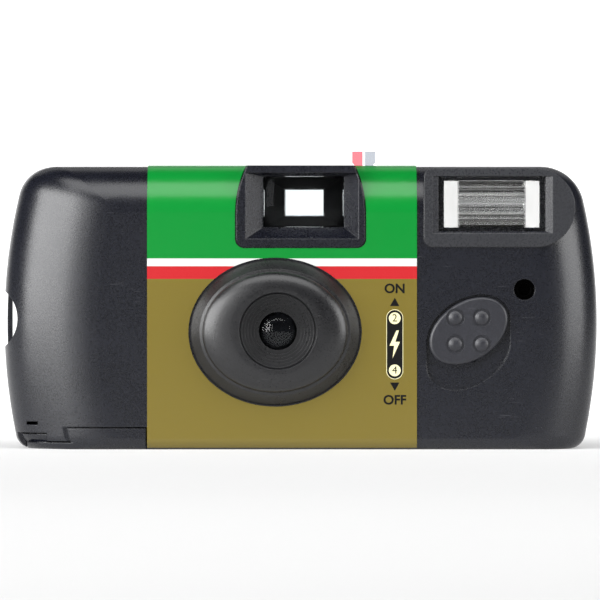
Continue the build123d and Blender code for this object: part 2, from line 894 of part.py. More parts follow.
def shutter_lever():
    """Striker on the deck, with a leg that reaches down to the blade's tail."""
    high = lever_low + lever_thickness
    angle = radians(lever_rest_angle)
    leg_x = lever_x + lever_arm * cos(angle)
    leg_y = lever_y + lever_arm * sin(angle)
    leg_low = blade_pivot_z + blade_tail_dz - lever_leg_lap
    hub = Pos(lever_x, lever_y) * Circle(lever_hub_radius)
    tip = Pos(leg_x, leg_y) * Circle(lever_leg_radius)
    arm = Pos(0, 0, lever_low) * extrude(make_hull((hub + tip).edges()), amount=lever_thickness)
    arm += rod_z(leg_x, leg_y, (leg_low, high), lever_leg_radius)
    hole_span = (lever_low - overrun, high + overrun)
    return arm - rod_z(lever_x, lever_y, hole_span, lever_post_radius + fit)


def lever_spring():
    """Torsion spring round the striker's post."""
    low = lever_low + lever_thickness + seat_gap
    outer = lever_post_radius + fit + spring_wire * 2
    coil = rod_z(lever_x, lever_y, (low, low + spring_height), outer)
    coil -= rod_z(lever_x, lever_y, (low - overrun, low + overrun), lever_post_radius)
    leg = (lever_x - 2 * lever_hub_radius, lever_x - lever_post_radius - fit)
    return coil + block(leg, (lever_y, lever_y + spring_wire), (low, low + spring_wire))


def viewfinder_housing():
    """Tapered black tube between the two viewfinder lenses."""
    front = grown(finder_opening, finder_wall)
    back = grown(eyepiece_opening, finder_wall)
    outer = taper_y(front, finder_front_y, back, finder_back_y)
    return outer - taper_y(finder_opening, finder_front_y, eyepiece_opening, finder_back_y)


def viewfinder_lens(depth_span):
    """Clear plate that fills the viewfinder tube over a short depth."""
    inside = taper_y(finder_opening, finder_front_y, eyepiece_opening, finder_back_y)
    wide, tall = grown(finder_opening, overrun)
    return inside & block(wide, depth_span, tall)


def viewfinder_objective():
    """Front viewfinder lens, hollowed towards the eye."""
    span = (finder_front_y, finder_front_y + finder_lens)
    middle_x = sum(finder_x_span) / 2
    middle_z = sum(finder_z_span) / 2
    reach = finder_x_span[1] - middle_x
    hollow_depth = finder_lens / 2
    radius = (reach**2 + hollow_depth**2) / (2 * hollow_depth)
    hollow = Pos(middle_x, span[1] - hollow_depth + radius, middle_z) * Sphere(radius)
    return viewfinder_lens(span) - hollow


def viewfinder_eyepiece():
    """Rear viewfinder lens, bulging slightly towards the eye."""
    span = (finder_back_y - finder_lens, finder_back_y)
    middle_x = sum(eyepiece_x_span) / 2
    middle_z = sum(eyepiece_z_span) / 2
    radius = (eyepiece_x_span[1] - eyepiece_x_span[0]) * 2
    return viewfinder_lens(span) & (Pos(middle_x, finder_back_y - radius, middle_z) * Sphere(radius))


def cassette_lip_reach():
    """How far the film lip stands out sideways from the cassette axis."""
    return cassette_radius / 2 + cassette_lip_length


def cassette_shell():
    """Film cassette: thin metal tube with a film lip and two end caps."""
    span = (cassette_low, cassette_top)
    inner_radius = cassette_radius - cassette_wall
    lip_angle = radians(cassette_lip_angle)
    shell = rod_z(cassette_x, cassette_y, span, inner_radius)
    for low in (cassette_low, cassette_top - cassette_cap_height):
        shell += rod_z(cassette_x, cassette_y, (low, low + cassette_cap_height), cassette_radius)
    lip_end = cassette_x + cassette_lip_reach()
    lip_y = film_front_y - cassette_felt
    lip_points = [
        (cassette_x, lip_y),
        (lip_end, lip_y),
        (lip_end, lip_y - cassette_wall),
        (cassette_x + inner_radius * sin(lip_angle), cassette_y + inner_radius * cos(lip_angle)),
        (cassette_x, cassette_y + inner_radius - cassette_wall),
    ]
    lip_face = make_face(Polyline(*lip_points, close=True))
    lip = extrude(lip_face, amount=film_width + 2 * cassette_wall)
    shell += Pos(0, 0, film_bottom - cassette_wall) * lip
    hollow = (cassette_low + cassette_cap_wall, cassette_top - cassette_cap_wall)
    shell -= rod_z(cassette_x, cassette_y, hollow, inner_radius - cassette_wall)
    ends = (span[0] - overrun, span[1] + overrun)
    return shell - rod_z(cassette_x, cassette_y, ends, spool_knob_radius + running_gap)


def cassette_velvet():
    """Velvet light trap on the cassette lip."""
    lip_end = cassette_x + cassette_lip_reach()
    wide = (lip_end - cassette_lip_length, lip_end)
    return block(wide, (film_front_y - cassette_felt, film_front_y), (film_bottom, film_top))


def cassette_spool():
    """Spool inside the cassette, with its forked knob in the wheel above."""
    low, high = cassette_low + seat_gap, cassette_top
    spool = rod_z(cassette_x, cassette_y, (low, high), spool_core_radius)
    knob_top = cassette_top + spool_knob_height
    spool += rod_z(cassette_x, cassette_y, (high, knob_top), spool_knob_radius)
    spool -= rod_z(cassette_x, cassette_y, (high, knob_top + overrun), spool_neck_radius)
    spool -= rod_z(cassette_x, cassette_y, (low - overrun, low + cassette_cap_height), spool_neck_radius)
    return spool


def film_strip():
    """Film stretched across the gate, with its two rows of perforations."""
    left = cassette_x + cassette_radius / 2
    strip = block((left, supply_x), (film_front_y, film_back_y), (film_bottom, film_top))
    count = int((supply_x - left) / perforation_pitch)
    low_row = film_bottom + perforation_edge + perforation_height / 2
    holes = []
    for index in range(count):
        x = left + (index + 0.5) * perforation_pitch
        for z in (low_row, perforation_z):
            holes.append(Pos(x, z) * Rectangle(perforation_width, perforation_height))
    return strip - prism_y(Sketch() + holes, (film_front_y - overrun, film_back_y + overrun))


def film_roll():
    """Unexposed film wound ready on the supply core."""
    roll = rod_z(supply_x, supply_y, (film_bottom, film_top), roll_radius)
    return roll - rod_z(supply_x, supply_y, (0, film_top + overrun), supply_core_radius)


def supply_spool():
    """Core of the supply roll, with a journal at each end."""
    span = (film_bottom - supply_flange, film_top + supply_flange)
    core = rod_z(supply_x, supply_y, span, supply_core_radius)
    tips = (span[0] - running_gap - supply_journal_length, span[1] + running_gap + supply_journal_length)
    return core + rod_z(supply_x, supply_y, tips, supply_journal_radius)


def sprocket_wheel():
    """Eight-toothed sprocket with its shaft and counter finger."""
    body_radius = sprocket_radius - sprocket_tooth_height
    body = rod_z(sprocket_x, sprocket_y, (sprocket_low, sprocket_high), body_radius)
    tooth_span = (perforation_z - sprocket_tooth_width / 2, perforation_z + sprocket_tooth_width / 2)
    for index in range(sprocket_teeth):
        half = sprocket_tooth_width / 2
        tooth = block((body_radius - fit, sprocket_radius), (-half, half), tooth_span)
        body += Pos(sprocket_x, sprocket_y) * Rot(0, 0, 360 / sprocket_teeth * index) * tooth
    body += rod_z(sprocket_x, sprocket_y, (sprocket_low, dial_top), sprocket_shaft_radius)
    finger_radius = sprocket_finger_radius / 2
    finger = rod_z(sprocket_x + finger_radius, sprocket_y, (dial_low, dial_top), finger_radius)
    return body + finger


def counter_dial():
    """Toothed disc that carries the frame numbers."""
    dial = rod_z(dial_x, dial_y, (dial_low, dial_top), dial_radius)
    notch = rod_z(dial_radius, 0, (dial_low - overrun, dial_top + overrun), dial_tooth_depth)
    notches = [Rot(0, 0, 360 / dial_teeth * index) * notch for index in range(dial_teeth)]
    dial -= Pos(dial_x, dial_y) * Part(children=notches)
    hub_low = deck_top + running_gap
    dial += rod_z(dial_x, dial_y, (hub_low, dial_low), dial_axle_radius * 2)
    hole_span = (hub_low - overrun, dial_top + overrun)
    return dial - rod_z(dial_x, dial_y, hole_span, dial_axle_radius + fit)


def counter_window():
    """Clear magnifier over the counter dial."""
    top = body_height + label_thickness
    window = rod_z(dial_x, counter_y, (inner_top, top), counter_radius)
    flange = (inner_top - counter_flange, inner_top)
    return window + rod_z(dial_x, counter_y, flange, counter_radius + counter_flange)


def advance_wheel():
    """Knurled thumb wheel that turns the cassette spool."""
    rim = rod_z(cassette_x, cassette_y, (wheel_low, wheel_top), wheel_radius)
    notch = rod_z(wheel_radius, 0, (wheel_low - overrun, wheel_top + overrun), wheel_tooth_depth)
    notches = [Rot(0, 0, 360 / wheel_teeth * index) * notch for index in range(wheel_teeth)]
    rim -= Pos(cassette_x, cassette_y) * Part(children=notches)
    knob_room = spool_knob_radius + seat_gap
    under_web = (wheel_low - overrun, wheel_top - wheel_web)
    groove = rod_z(cassette_x, cassette_y, under_web, wheel_radius - wheel_rim_width)
    groove -= rod_z(cassette_x, cassette_y, (0, wheel_top), knob_room + wheel_hub_wall)
    rim -= groove
    rim -= rod_z(cassette_x, cassette_y, under_web, knob_room)
    reach = spool_neck_radius - seat_gap
    half = wheel_key_width / 2
    key = block((-reach, reach), (-half, half), (wheel_low, wheel_top - wheel_web))
    return rim + Pos(cassette_x, cassette_y) * key


def wheel_pawl():
    """Leaf that rests near the knurling and stops the wheel running back."""
    right = cassette_x + wheel_radius + running_gap + pawl_thickness
    front = cassette_y - pawl_length / 2
    left = right - pawl_thickness
    high = deck_top + pawl_height
    leaf = block((left, right), (front, front + pawl_length), (deck_top + running_gap, high))
    foot = block((left, right + pawl_foot), (front, front + pawl_foot), (deck_top, high))
    return leaf + foot


def shutter_button():
    """Dished release button with an arm that reaches the striker."""
    top = body_height - button_sink
    flange_low = inner_top - running_gap - button_flange_height
    button = rod_z(button_x, button_y, (flange_low, top), button_radius)
    flange = button_radius + button_flange_width
    button += rod_z(button_x, button_y, (flange_low, flange_low + button_flange_height), flange)
    arm_right = button_x + button_arm_reach
    half = button_arm_width / 2
    arm_span = (button_y - half - button_arm_width, button_y - button_arm_width + half)
    button += block((button_x, arm_right), arm_span, (flange_low, flange_low + button_flange_height))
    finger = (arm_right - button_finger, arm_right)
    button += block(finger, arm_span, (flange_low - button_finger_length, flange_low))
    dish = Pos(button_x, button_y, top - button_dish + button_dish_radius) * Sphere(button_dish_radius)
    return button - dish


def flash_window():
    """Clear flash window, its middle ribbed from side to side on the back."""
    spans = [(window_left, window_right), (window_low, window_high)]
    plate = prism_y(rectangle(*grown(spans, -seat_gap / 2)), (window_front_y, window_back_y))
    left = window_left + window_rib_margin_left
    right = window_right - window_rib_margin_right
    low = window_low + window_rib_margin_low
    step = (window_high - window_rib_margin_top - low) / window_ribs
    ribs = []
    for index in range(window_ribs):
        z = low + (index + 0.5) * step
        ribs.append(Pos(window_back_y, z) * Ellipse(window_rib_depth, step / 2))
    return plate + extrude(Plane.YZ.offset(left) * (Sketch() + ribs), amount=right - left)


def reflector_curve(grow):
    """Half ellipse of the reflector trough, in side view."""
    ellipse = Ellipse(reflector_depth + grow, reflector_half_height + grow)
    reach = reflector_depth + overrun
    tall = 2 * (reflector_half_height + grow) + overrun
    keep = Pos(reach / 2, 0) * Rectangle(reach, tall)
    return Pos(reflector_front_y, reflector_z) * (ellipse & keep)


def reflector_trough(grow):
    """Trough of the reflector, closed by an end wall that slants in at each side."""
    half = reflector_half_width + grow
    trough = extrude(Plane.YZ.offset(reflector_x - half) * reflector_curve(grow), amount=2 * half)
    back_half = half - reflector_end_slant
    tall = (window_low - overrun, window_high + overrun)
    ends = taper_y(
        [(reflector_x - half, reflector_x + half), tall], reflector_front_y,
        [(reflector_x - back_half, reflector_x + back_half), tall], reflector_front_y + reflector_depth + grow,
    )
    return trough & ends


def flash_reflector():
    """Bright trough behind the flash tube, with a flange round its mouth."""
    half = reflector_half_width + reflector_sheet
    left, right = reflector_x - half, reflector_x + half
    low, high = reflector_z - reflector_half_height, reflector_z + reflector_half_height
    flange_back_y = reflector_front_y + reflector_flange
    rim = block(
        (left - reflector_lip, right + reflector_lip),
        (reflector_front_y, flange_back_y),
        (low - reflector_lip, high + reflector_lip),
    )
    hollow = reflector_trough(0)
    tube_hole = rod_x(tube_y, reflector_z, (left - overrun, right + overrun), tube_radius + fit)
    return (reflector_trough(reflector_sheet) + rim) - hollow - tube_hole


def flash_tube():
    """Glass flash tube with its two end wires."""
    half = reflector_half_width + reflector_sheet + tube_overhang
    left, right = reflector_x - half, reflector_x + half
    tube = rod_x(tube_y, reflector_z, (left, right), tube_radius)
    foot_z = board_high - electrode_offset
    for x in (left + electrode_offset, right - electrode_offset):
        tube += rod_z(x, tube_y, (foot_z, reflector_z), electrode_radius)
        tube += rod_y(x, foot_z, (board_back_y, tube_y + electrode_radius), electrode_radius)
    return tube


def flash_board():
    """Circuit board of the flash."""
    thick = (board_front_y, board_back_y)
    board = block((board_left, board_right), thick, (board_low, board_high))
    notch = block(
        (board_left - overrun, board_notch_right),
        (board_front_y - overrun, board_back_y + overrun),
        (board_low - overrun, board_notch_top),
    )
    return board - notch


def flash_capacitor():
    """Main flash capacitor, standing beside the supply chamber on two leads."""
    can = rod_z(capacitor_x, capacitor_y, (capacitor_low, capacitor_high), capacitor_radius)
    bead_z = capacitor_high - capacitor_radius / 4
    for z in (capacitor_low + capacitor_lead_rise, capacitor_high - capacitor_lead_drop):
        reach = (board_back_y, capacitor_y - capacitor_radius / 2)
        can += rod_y(capacitor_x, z, reach, lead_radius)
    bead = (bead_z, bead_z + 2 * capacitor_bead)
    ring = rod_z(capacitor_x, capacitor_y, bead, capacitor_radius + overrun)
    ring -= rod_z(capacitor_x, capacitor_y, bead, capacitor_radius - capacitor_bead)
    return can - ring


def flash_transformer():
    """Step-up transformer: wound bobbin between two core plates."""
    right = transformer_left + transformer_size
    high = transformer_low + transformer_size
    back = board_back_y + transformer_depth
    core = Part()
    for low in (transformer_low, high - transformer_core):
        core += block((transformer_left, right), (board_back_y, back), (low, low + transformer_core))
    inset = transformer_core / 2
    wide = (transformer_left + inset, right - inset)
    return core + block(wide, (board_back_y, back - inset), (transformer_low, high))


def trigger_coil():
    """Small trigger coil with collars."""
    y = board_back_y + coil_radius
    high = coil_low + coil_length
    coil = rod_z(coil_x, y, (coil_low, high), coil_radius - coil_collar)
    for low in (coil_low, high - coil_collar):
        coil += rod_z(coil_x, y, (low, low + coil_collar), coil_radius)
    return coil


def neon_lamp():
    """Ready lamp lying behind the light guide, on two bent leads."""
    right = neon_left + neon_length
    lamp = rod_x(neon_y, neon_z, (neon_left, right), neon_radius)
    lamp += Pos(neon_left, neon_y, neon_z) * Sphere(neon_radius)
    lead_x = board_left + neon_tip_radius + lead_radius * 2
    for z in (neon_z - neon_tip_radius, neon_z + neon_tip_radius):
        lamp += rod_x(neon_y, z, (right, lead_x + lead_radius / 2), lead_radius / 2)
        lamp += rod_y(lead_x, z, (board_back_y, neon_y), lead_radius / 2)
    return lamp


def battery():
    """Small round cell lying under the lens."""
    cell = rod_x(battery_y, battery_z, (battery_left, battery_right), battery_radius)
    tip = battery_right + battery_nub_length
    return cell + rod_x(battery_y, battery_z, (battery_right, tip), battery_nub_radius)


def battery_contact(left, top):
    """Sprung strip at one end of the cell."""
    wide = (battery_y - contact_width / 2, battery_y + contact_width / 2)
    return block((left, left + contact_sheet), wide, (battery_z - contact_width / 2, top))


def battery_contact_negative():
    """Strip at the flat end of the cell."""
    return battery_contact(battery_left - contact_sheet, battery_z + contact_width / 2)


def battery_contact_positive():
    """Strip at the nub end, with a tab up to the flash board."""
    left = battery_right + battery_nub_length
    strip = battery_contact(left, battery_z + contact_width / 2)
    tab_y = (board_back_y, board_back_y + contact_width / 2)
    tab_z = (battery_z, board_notch_top + contact_tab_rise)
    return strip + block((left, left + contact_sheet), tab_y, tab_z)


def sync_contact():
    """Sprung strip from the flash board to the shutter."""
    span = (board_back_y, board_back_y + sync_sheet)
    tall = (sync_z - sync_width / 2, sync_z + sync_width / 2)
    return block((shutter_right + running_gap, sync_right), span, tall)


def switch_knob():
    """Tilted oval knob with four grip dimples."""
    knob = prism_y(knob_oval(0), (knob_front_y, knob_back_y))
    rim = knob.edges().group_by(Axis.Y)[0]
    knob = fillet(rim, knob_edge)
    half = knob_dimple_spacing / 2
    ball_radius = (knob_dimple_radius**2 + knob_dimple_height**2) / (2 * knob_dimple_height)
    ball_y = knob_front_y - knob_dimple_height + ball_radius
    ring_floor_y = knob_front_y + knob_ring_depth
    for dx in (-half, half):
        for dz in (-half, half):
            x, z = switch_x + dx, switch_z + dz
            knob -= rod_y(x, z, (knob_front_y - overrun, ring_floor_y), knob_ring_radius)
            knob += rod_y(x, z, (knob_front_y, ring_floor_y), knob_dimple_radius)
            column = rod_y(x, z, (knob_front_y - overrun, knob_front_y + fit), knob_dimple_radius)
            knob += Pos(x, ball_y, z) * Sphere(ball_radius) & column
    return knob


def switch_slider():
    """Slide behind the front cover: stem, plate and the arm to the light guide."""
    wide = (switch_x - slider_half_width, switch_x + slider_half_width)
    tall = (switch_z - slider_half_height, arm_high)
    thick = (slider_front_y, slider_back_y)
    plate = block(wide, thick, tall)
    plate += block((guide_left, wide[1]), thick, (arm_low, arm_high))
    stem_width = (switch_x - slot_half_width + seat_gap, switch_x + slot_half_width - seat_gap)
    stem_height = (switch_z - slot_half_width, switch_z + slot_half_width)
    return plate + block(stem_width, (knob_back_y, slider_front_y), stem_height)


def switch_leaf():
    """Brass leaf on the slide that closes the flash circuit."""
    wide = (switch_x - slider_half_width / 2, switch_x + slider_half_width / 2)
    tall = (switch_z - slider_half_height / 2, switch_z + slider_half_height / 2)
    return block(wide, (slider_back_y, leaf_back_y), tall)


def light_guide():
    """Clear two-pronged guide that rises out of the top when the flash is on."""
    thick = (guide_y - guide_thickness / 2, guide_y + guide_thickness / 2)
    foot = block((guide_left, guide_right), (slider_back_y, thick[1]), (arm_low, arm_high))
    stem = block((guide_left + guide_flare, guide_right - guide_flare), thick, (arm_low, guide_top))
    head_low = guide_top - guide_head
    middle = (guide_left + guide_right) / 2
    head_points = [
        (guide_left + guide_flare, head_low - guide_flare),
        (guide_left, head_low),
        (guide_left, guide_top),
        (guide_right, guide_top),
        (guide_right, head_low),
        (guide_right - guide_flare, head_low - guide_flare),
    ]
    head = prism_y(make_face(Polyline(*head_points, close=True)), thick)
    split = block(
        (middle - guide_split / 2, middle + guide_split / 2),
        (thick[0] - overrun, thick[1] + overrun),
        (guide_top - guide_split_length, guide_top + overrun),
    )
    return foot + stem + head - split


def cartridge_door():
    """Floor door under the cassette, with a front lip, a set back corner and a hinge pin."""
    floor, lip, knuckle, _, corner = door_zone(0)
    skin = ((front_solid + rear_solid) - (front_hollow + rear_hollow)) & above_floor
    door = skin & (floor + lip)
    door += (body_half(corner_inset, True) - front_hollow) & corner & above_floor
    ear_gap = block(
        (hinge_ear_left - running_gap, hinge_ear_right + running_gap),
        (hinge_y - hinge_radius - running_gap, hinge_y + overrun),
        (-overrun, overrun),
    )
    door += knuckle & block((door_left, door_right), (0, rear_depth), (0, body_height))
    door -= ear_gap
    return door + rod_x(hinge_y, hinge_z, (door_left, door_right), hinge_pin_radius)


def guide_opening(z_span):
    """Hole in the top for the light guide."""
    half = guide_thickness / 2 + guide_gap
    wide = (guide_left - guide_gap, guide_right + guide_gap)
    return block(wide, (guide_y - half, guide_y + half), z_span)


def shell_half(solid, hollow):
    """One moulded cover before its own openings are cut."""
    shell = (solid - hollow) & above_floor
    shell = shell - strap_notch(notch_radius)
    return shell + (notch_liner(solid) & above_floor)


def add_finder_hood(cover):
    """Raised hood with sloped cheeks that lead in to the viewfinder."""
    hood_back = front_y + front_top_round
    outer_side = block((-body_width, body_width), (-body_width, rear_depth), (0, body_height))
    cover += (prism_y(hood_outline(0), (hood_y, hood_back)) & outer_side) - front_hollow
    inside = block(
        (-body_width, body_width),
        (inner_front_y, parting_y),
        (hood_bottom, inner_top),
    )
    cover -= prism_y(hood_outline(-shell_wall), (inner_front_y, parting_y)) & inside
    left, right = finder_x_span
    low, high = finder_z_span
    mouth = [
        (left - finder_flare_left, right + finder_flare_right),
        (low - finder_flare_low, high + finder_flare_top),
    ]
    wall = finder_wall / 2
    collar = taper_y(grown(mouth, wall), hood_y, grown(finder_opening, wall), flare_back_y)
    cover += collar & block((-body_width, body_width), (inner_front_y - fit, parting_y), (0, inner_top))
    return cover - taper_y(mouth, hood_y - fit, finder_opening, flare_back_y + fit)


def add_flash_panel(cover):
    """Raised flash panel, open behind, with a window that flares to the front."""
    panel_back = front_y + front_top_round
    cover += prism_y(panel_outline(0), (hood_y, panel_back)) - front_hollow
    cover -= prism_y(panel_outline(-panel_wall), (ledge_back_y, panel_back + overrun))
    spans = [(window_left, window_right), (window_low, window_high)]
    wide = [
        (window_left - window_flare_left, window_right + window_flare_right),
        (window_low - window_flare_low, window_high + window_flare_top),
    ]
    cover -= prism_y(rectangle(*spans), (window_front_y - fit, window_back_y + seat_gap))
    cover -= prism_y(ledge_outline(), (window_back_y, ledge_back_y + overrun))
    return cover - taper_y(wide, hood_y - fit, spans, window_front_y)


def cut_switch_recess(cover):
    """Sunk track for the switch knob, with a thicker floor and a slot for its stem."""
    cover += prism_y(knob_path(recess_gap + shell_wall), (inner_front_y - fit, pad_y))
    cover -= prism_y(knob_path(recess_gap), (front_y - overrun, recess_floor_y))
    stem_room = slot_half_width + seat_gap
    return cover - block(
        (switch_x - slot_half_width, switch_x + slot_half_width),
        (recess_floor_y - fit, pad_y + overrun),
        (switch_z - switch_travel - stem_room, switch_z + stem_room),
    )


def front_cover():
    """Front moulding with the grip, the hood, the flash panel and the switch recess."""
    cover = shell_half(front_solid, front_hollow)
    cover = add_finder_hood(cover)
    cover = add_flash_panel(cover)
    cover = cut_switch_recess(cover)
    through = (front_y - overrun, inner_front_y + overrun)
    cover -= rod_y(lens_x, lens_z, through, lens_hole_radius + retainer_flange + seat_gap)
    cover -= rod_y(pinhole_x, pinhole_z, (through[0], front_y + pinhole_depth), pinhole_outer)
    boss = (inner_front_y - fit, inner_front_y + pinhole_boss)
    cover += rod_y(pinhole_x, pinhole_z, boss, pinhole_radius + pinhole_wall)
    cover -= rod_y(pinhole_x, pinhole_z, (through[0], boss[1] - pinhole_wall), pinhole_radius)
    top = (inner_top - overrun, body_height + overrun)
    cover -= rod_z(button_x, button_y, top, button_radius + button_clearance)
    cover -= guide_opening(top)
    slot = (door_left, door_left + corner_slot_length)
    slot_z = (corner_slot_z, corner_slot_z + corner_slot_height)
    cover -= block(slot, (front_y - overrun, parting_y - overrun), slot_z)
    for cut in door_zone(door_gap):
        cover -= cut
    return cover


def rear_cover():
    """Back moulding with the thumb scoop, the eyepiece and the strap bar."""
    cover = shell_half(rear_solid, rear_hollow)
    bar = block(
        (-flash_end, bar_width - flash_end),
        (bar_y, bar_y + bar_depth),
        (notch_z - notch_radius, notch_z + notch_radius),
    )
    cover += bar & rear_solid
    scoop_wall = thumb_scoop(scoop_radius + shell_wall, shell_wall) & rear_solid
    cover = cover + scoop_wall - thumb_scoop(scoop_radius, 0)
    wheel_slot = block(
        (-body_width, body_width),
        (cassette_y, rear_depth + overrun),
        (wheel_low - running_gap, wheel_top + running_gap),
    )
    wheel_room = rod_z(cassette_x, cassette_y, (0, body_height), wheel_radius + 2 * running_gap)
    cover -= wheel_slot & wheel_room
    flared = grown(eyepiece_opening, eyepiece_flare)
    cover -= taper_y(eyepiece_opening, inner_rear_y - fit, flared, rear_depth + fit)
    top = (inner_top - overrun, body_height + overrun)
    cover -= rod_z(dial_x, counter_y, top, counter_radius + seat_gap)
    tall = (film_bottom + perforation_edge, film_top - perforation_edge)
    step = (gate_width + 2 * tunnel_wall) / (pressure_ribs - 1)
    for index in range(pressure_ribs):
        x = lens_x - gate_width / 2 - tunnel_wall + index * step
        rib = (x - pressure_rib_width / 2, x + pressure_rib_width / 2)
        cover += block(rib, (film_back_y + pressure_gap, inner_rear_y + fit), tall)
    for cut in door_zone(door_gap):
        cover -= cut
    ear = (hinge_ear_left, hinge_ear_right)
    web_y = (hinge_y, rear_depth - rear_bottom_round / 2)
    web = block(ear, web_y, (hinge_z - hinge_radius, hinge_z + hinge_radius))
    cover += rod_x(hinge_y, hinge_z, ear, hinge_radius) + web
    pin_hole = (ear[0] - overrun, ear[1] + overrun)
    return cover - rod_x(hinge_y, hinge_z, pin_hole, hinge_pin_radius + fit)


def label():
    """Printed film sleeve over the front, the top and the back."""
    outer = body_half(-label_thickness, True) + body_half(-label_thickness, False)
    top = (inner_top, body_height + overrun)
    sleeve = outer & block((label_left, label_right), (-body_width, body_width), (label_foot, top[1]))
    sleeve -= front_solid
    sleeve -= rear_solid
    sleeve -= prism_y(oval(label_gap), (-body_width, inner_front_y))
    sleeve -= prism_y(hood_outline(label_gap), (-body_width, front_y + front_top_round))
    sleeve -= guide_opening(top)
    sleeve -= rod_z(dial_x, counter_y, top, counter_radius + seat_gap)
    eye = grown(eyepiece_opening, eyepiece_flare + label_gap)
    return sleeve - prism_y(rectangle(*eye), (inner_rear_y, rear_depth + overrun))


def frame_chambers():
    """Outer walls of the cassette and supply chambers."""
    cassette_walls = rod_z(cassette_x, cassette_y, (cassette_low, deck_top), chamber_radius)
    roof = supply_flange + running_gap + chamber_wall
    tall = (film_bottom - roof, film_top + roof)
    return cassette_walls + rod_z(supply_x, supply_y, tall, supply_outer)


def frame_deck():
    """Deck over the cassette that carries the wheel, the striker and the counter."""
    back = sprocket_y + sprocket_radius / 2
    tall = (deck_low, deck_top)
    under_lever = (cassette_x, lever_x + lever_hub_radius + seat_gap)
    deck = block(under_lever, (lever_y - lever_hub_radius, back), tall)
    return deck + block((cassette_x, dial_x + deck_past_dial), (dial_y - dial_radius, back), tall)


def frame_cradle():
    """Half trough for the battery, with a back wall up to the light tunnel."""
    wide = (cradle_left, cradle_right)
    floor_z = shell_wall + seat_gap
    back = battery_y + battery_radius + cradle_wall
    front = front_y + front_bottom_round + seat_gap
    trough = block(wide, (front, back), (floor_z, battery_z))
    wall_top = lens_z - tunnel_front_height / 2
    return trough + block(wide, (back - cradle_wall, back), (floor_z, wall_top))


def main_frame():
    """Inner chassis: light tunnel, film gate, both chambers, deck and battery cradle."""
    half_width, half_height = gate_width / 2, gate_height / 2
    gate = [(lens_x - half_width, lens_x + half_width), (lens_z - half_height, lens_z + half_height)]
    half_width, half_height = tunnel_front_width / 2, tunnel_front_height / 2
    mouth = [(lens_x - half_width, lens_x + half_width), (lens_z - half_height, lens_z + half_height)]
    frame = taper_y(grown(mouth, tunnel_wall), tunnel_front_y, grown(gate, tunnel_wall), rail_y)
    plate_left = cassette_x + chamber_bore
    plate_y = (rail_y - gate_plate, rail_y)
    frame += block((plate_left, supply_x), plate_y, (film_bottom, film_top))
    frame += block((plate_left, sprocket_x + sprocket_radius), plate_y, (film_bottom, deck_top))
    frame += frame_chambers() + frame_deck() + frame_cradle()
    above = deck_top + overrun
    frame -= rod_z(cassette_x, cassette_y, (0, deck_low), chamber_bore)
    frame -= rod_z(cassette_x, cassette_y, (0, above), spool_knob_radius + running_gap)
    margin = supply_flange + running_gap
    supply_room = (film_bottom - margin, film_top + margin)
    frame -= rod_z(supply_x, supply_y, supply_room, supply_bore)
    frame -= rod_z(supply_x, supply_y, (0, body_height), supply_journal_radius + fit)
    frame -= taper_y(mouth, tunnel_front_y, gate, rail_y)
    bore = (battery_left - contact_sheet, cradle_right - cradle_wall)
    frame -= rod_x(battery_y, battery_z, bore, battery_radius + cradle_gap)
    sprocket_room = (sprocket_low - running_gap, sprocket_high + running_gap)
    frame -= rod_z(sprocket_x, sprocket_y, sprocket_room, sprocket_radius + running_gap)
    frame -= rod_z(sprocket_x, sprocket_y, (sprocket_high, above), sprocket_shaft_radius + fit)
    post_top = lever_low + lever_thickness + spring_height
    frame += rod_z(lever_x, lever_y, (deck_low, post_top), lever_post_radius)
    frame += rod_z(dial_x, dial_y, (deck_low, dial_top), dial_axle_radius)
    inner_radius = cassette_radius - cassette_wall
    lip_front = cassette_y + inner_radius * cos(radians(cassette_lip_angle)) - running_gap
    frame -= block(
        (cassette_x, cassette_x + cassette_lip_reach() + running_gap),
        (lip_front, rail_y + overrun),
        (0, film_top + cassette_wall + running_gap),
    )
    frame -= thumb_scoop(scoop_radius + shell_wall + running_gap, 2 * shell_wall)
    inset = shell_wall + seat_gap
    frame = frame & (body_half(inset, True) + body_half(inset, False))
    return frame - block((-body_width, body_width), (rail_y, body_width), (0, body_height))


parts = {
    "front_cover": front_cover,
    "rear_cover": rear_cover,
    "main_frame": main_frame,
    "label": label,
    "lens_bezel": lens_bezel,
    "lens_retainer": lens_retainer,
    "lens_element": lens_element,
    "aperture_plate": aperture_plate,
    "shutter_base": shutter_base,
    "shutter_blade": shutter_blade,
    "blade_spring": blade_spring,
    "shutter_lever": shutter_lever,
    "lever_spring": lever_spring,
    "shutter_button": shutter_button,
    "viewfinder_housing": viewfinder_housing,
    "viewfinder_objective": viewfinder_objective,
    "viewfinder_eyepiece": viewfinder_eyepiece,
    "advance_wheel": advance_wheel,
    "wheel_pawl": wheel_pawl,
    "sprocket_wheel": sprocket_wheel,
    "counter_dial": counter_dial,
    "counter_window": counter_window,
    "cassette_shell": cassette_shell,
    "cassette_felt": cassette_velvet,
    "cassette_spool": cassette_spool,
    "film_strip": film_strip,
    "film_roll": film_roll,
    "supply_spool": supply_spool,
    "cartridge_door": cartridge_door,
    "flash_window": flash_window,
    "flash_reflector": flash_reflector,
    "flash_tube": flash_tube,
    "flash_board": flash_board,
    "flash_capacitor": flash_capacitor,
    "flash_transformer": flash_transformer,
    "trigger_coil": trigger_coil,
    "neon_lamp": neon_lamp,
    "battery": battery,
    "battery_contact_negative": battery_contact_negative,
    "battery_contact_positive": battery_contact_positive,
    "sync_contact": sync_contact,
    "switch_knob": switch_knob,
    "switch_slider": switch_slider,
    "switch_leaf": switch_leaf,
    "light_guide": light_guide,
}

os.makedirs("parts", exist_ok=True)
for name, make in parts.items():
    export_step(make(), f"parts/{name}.step")
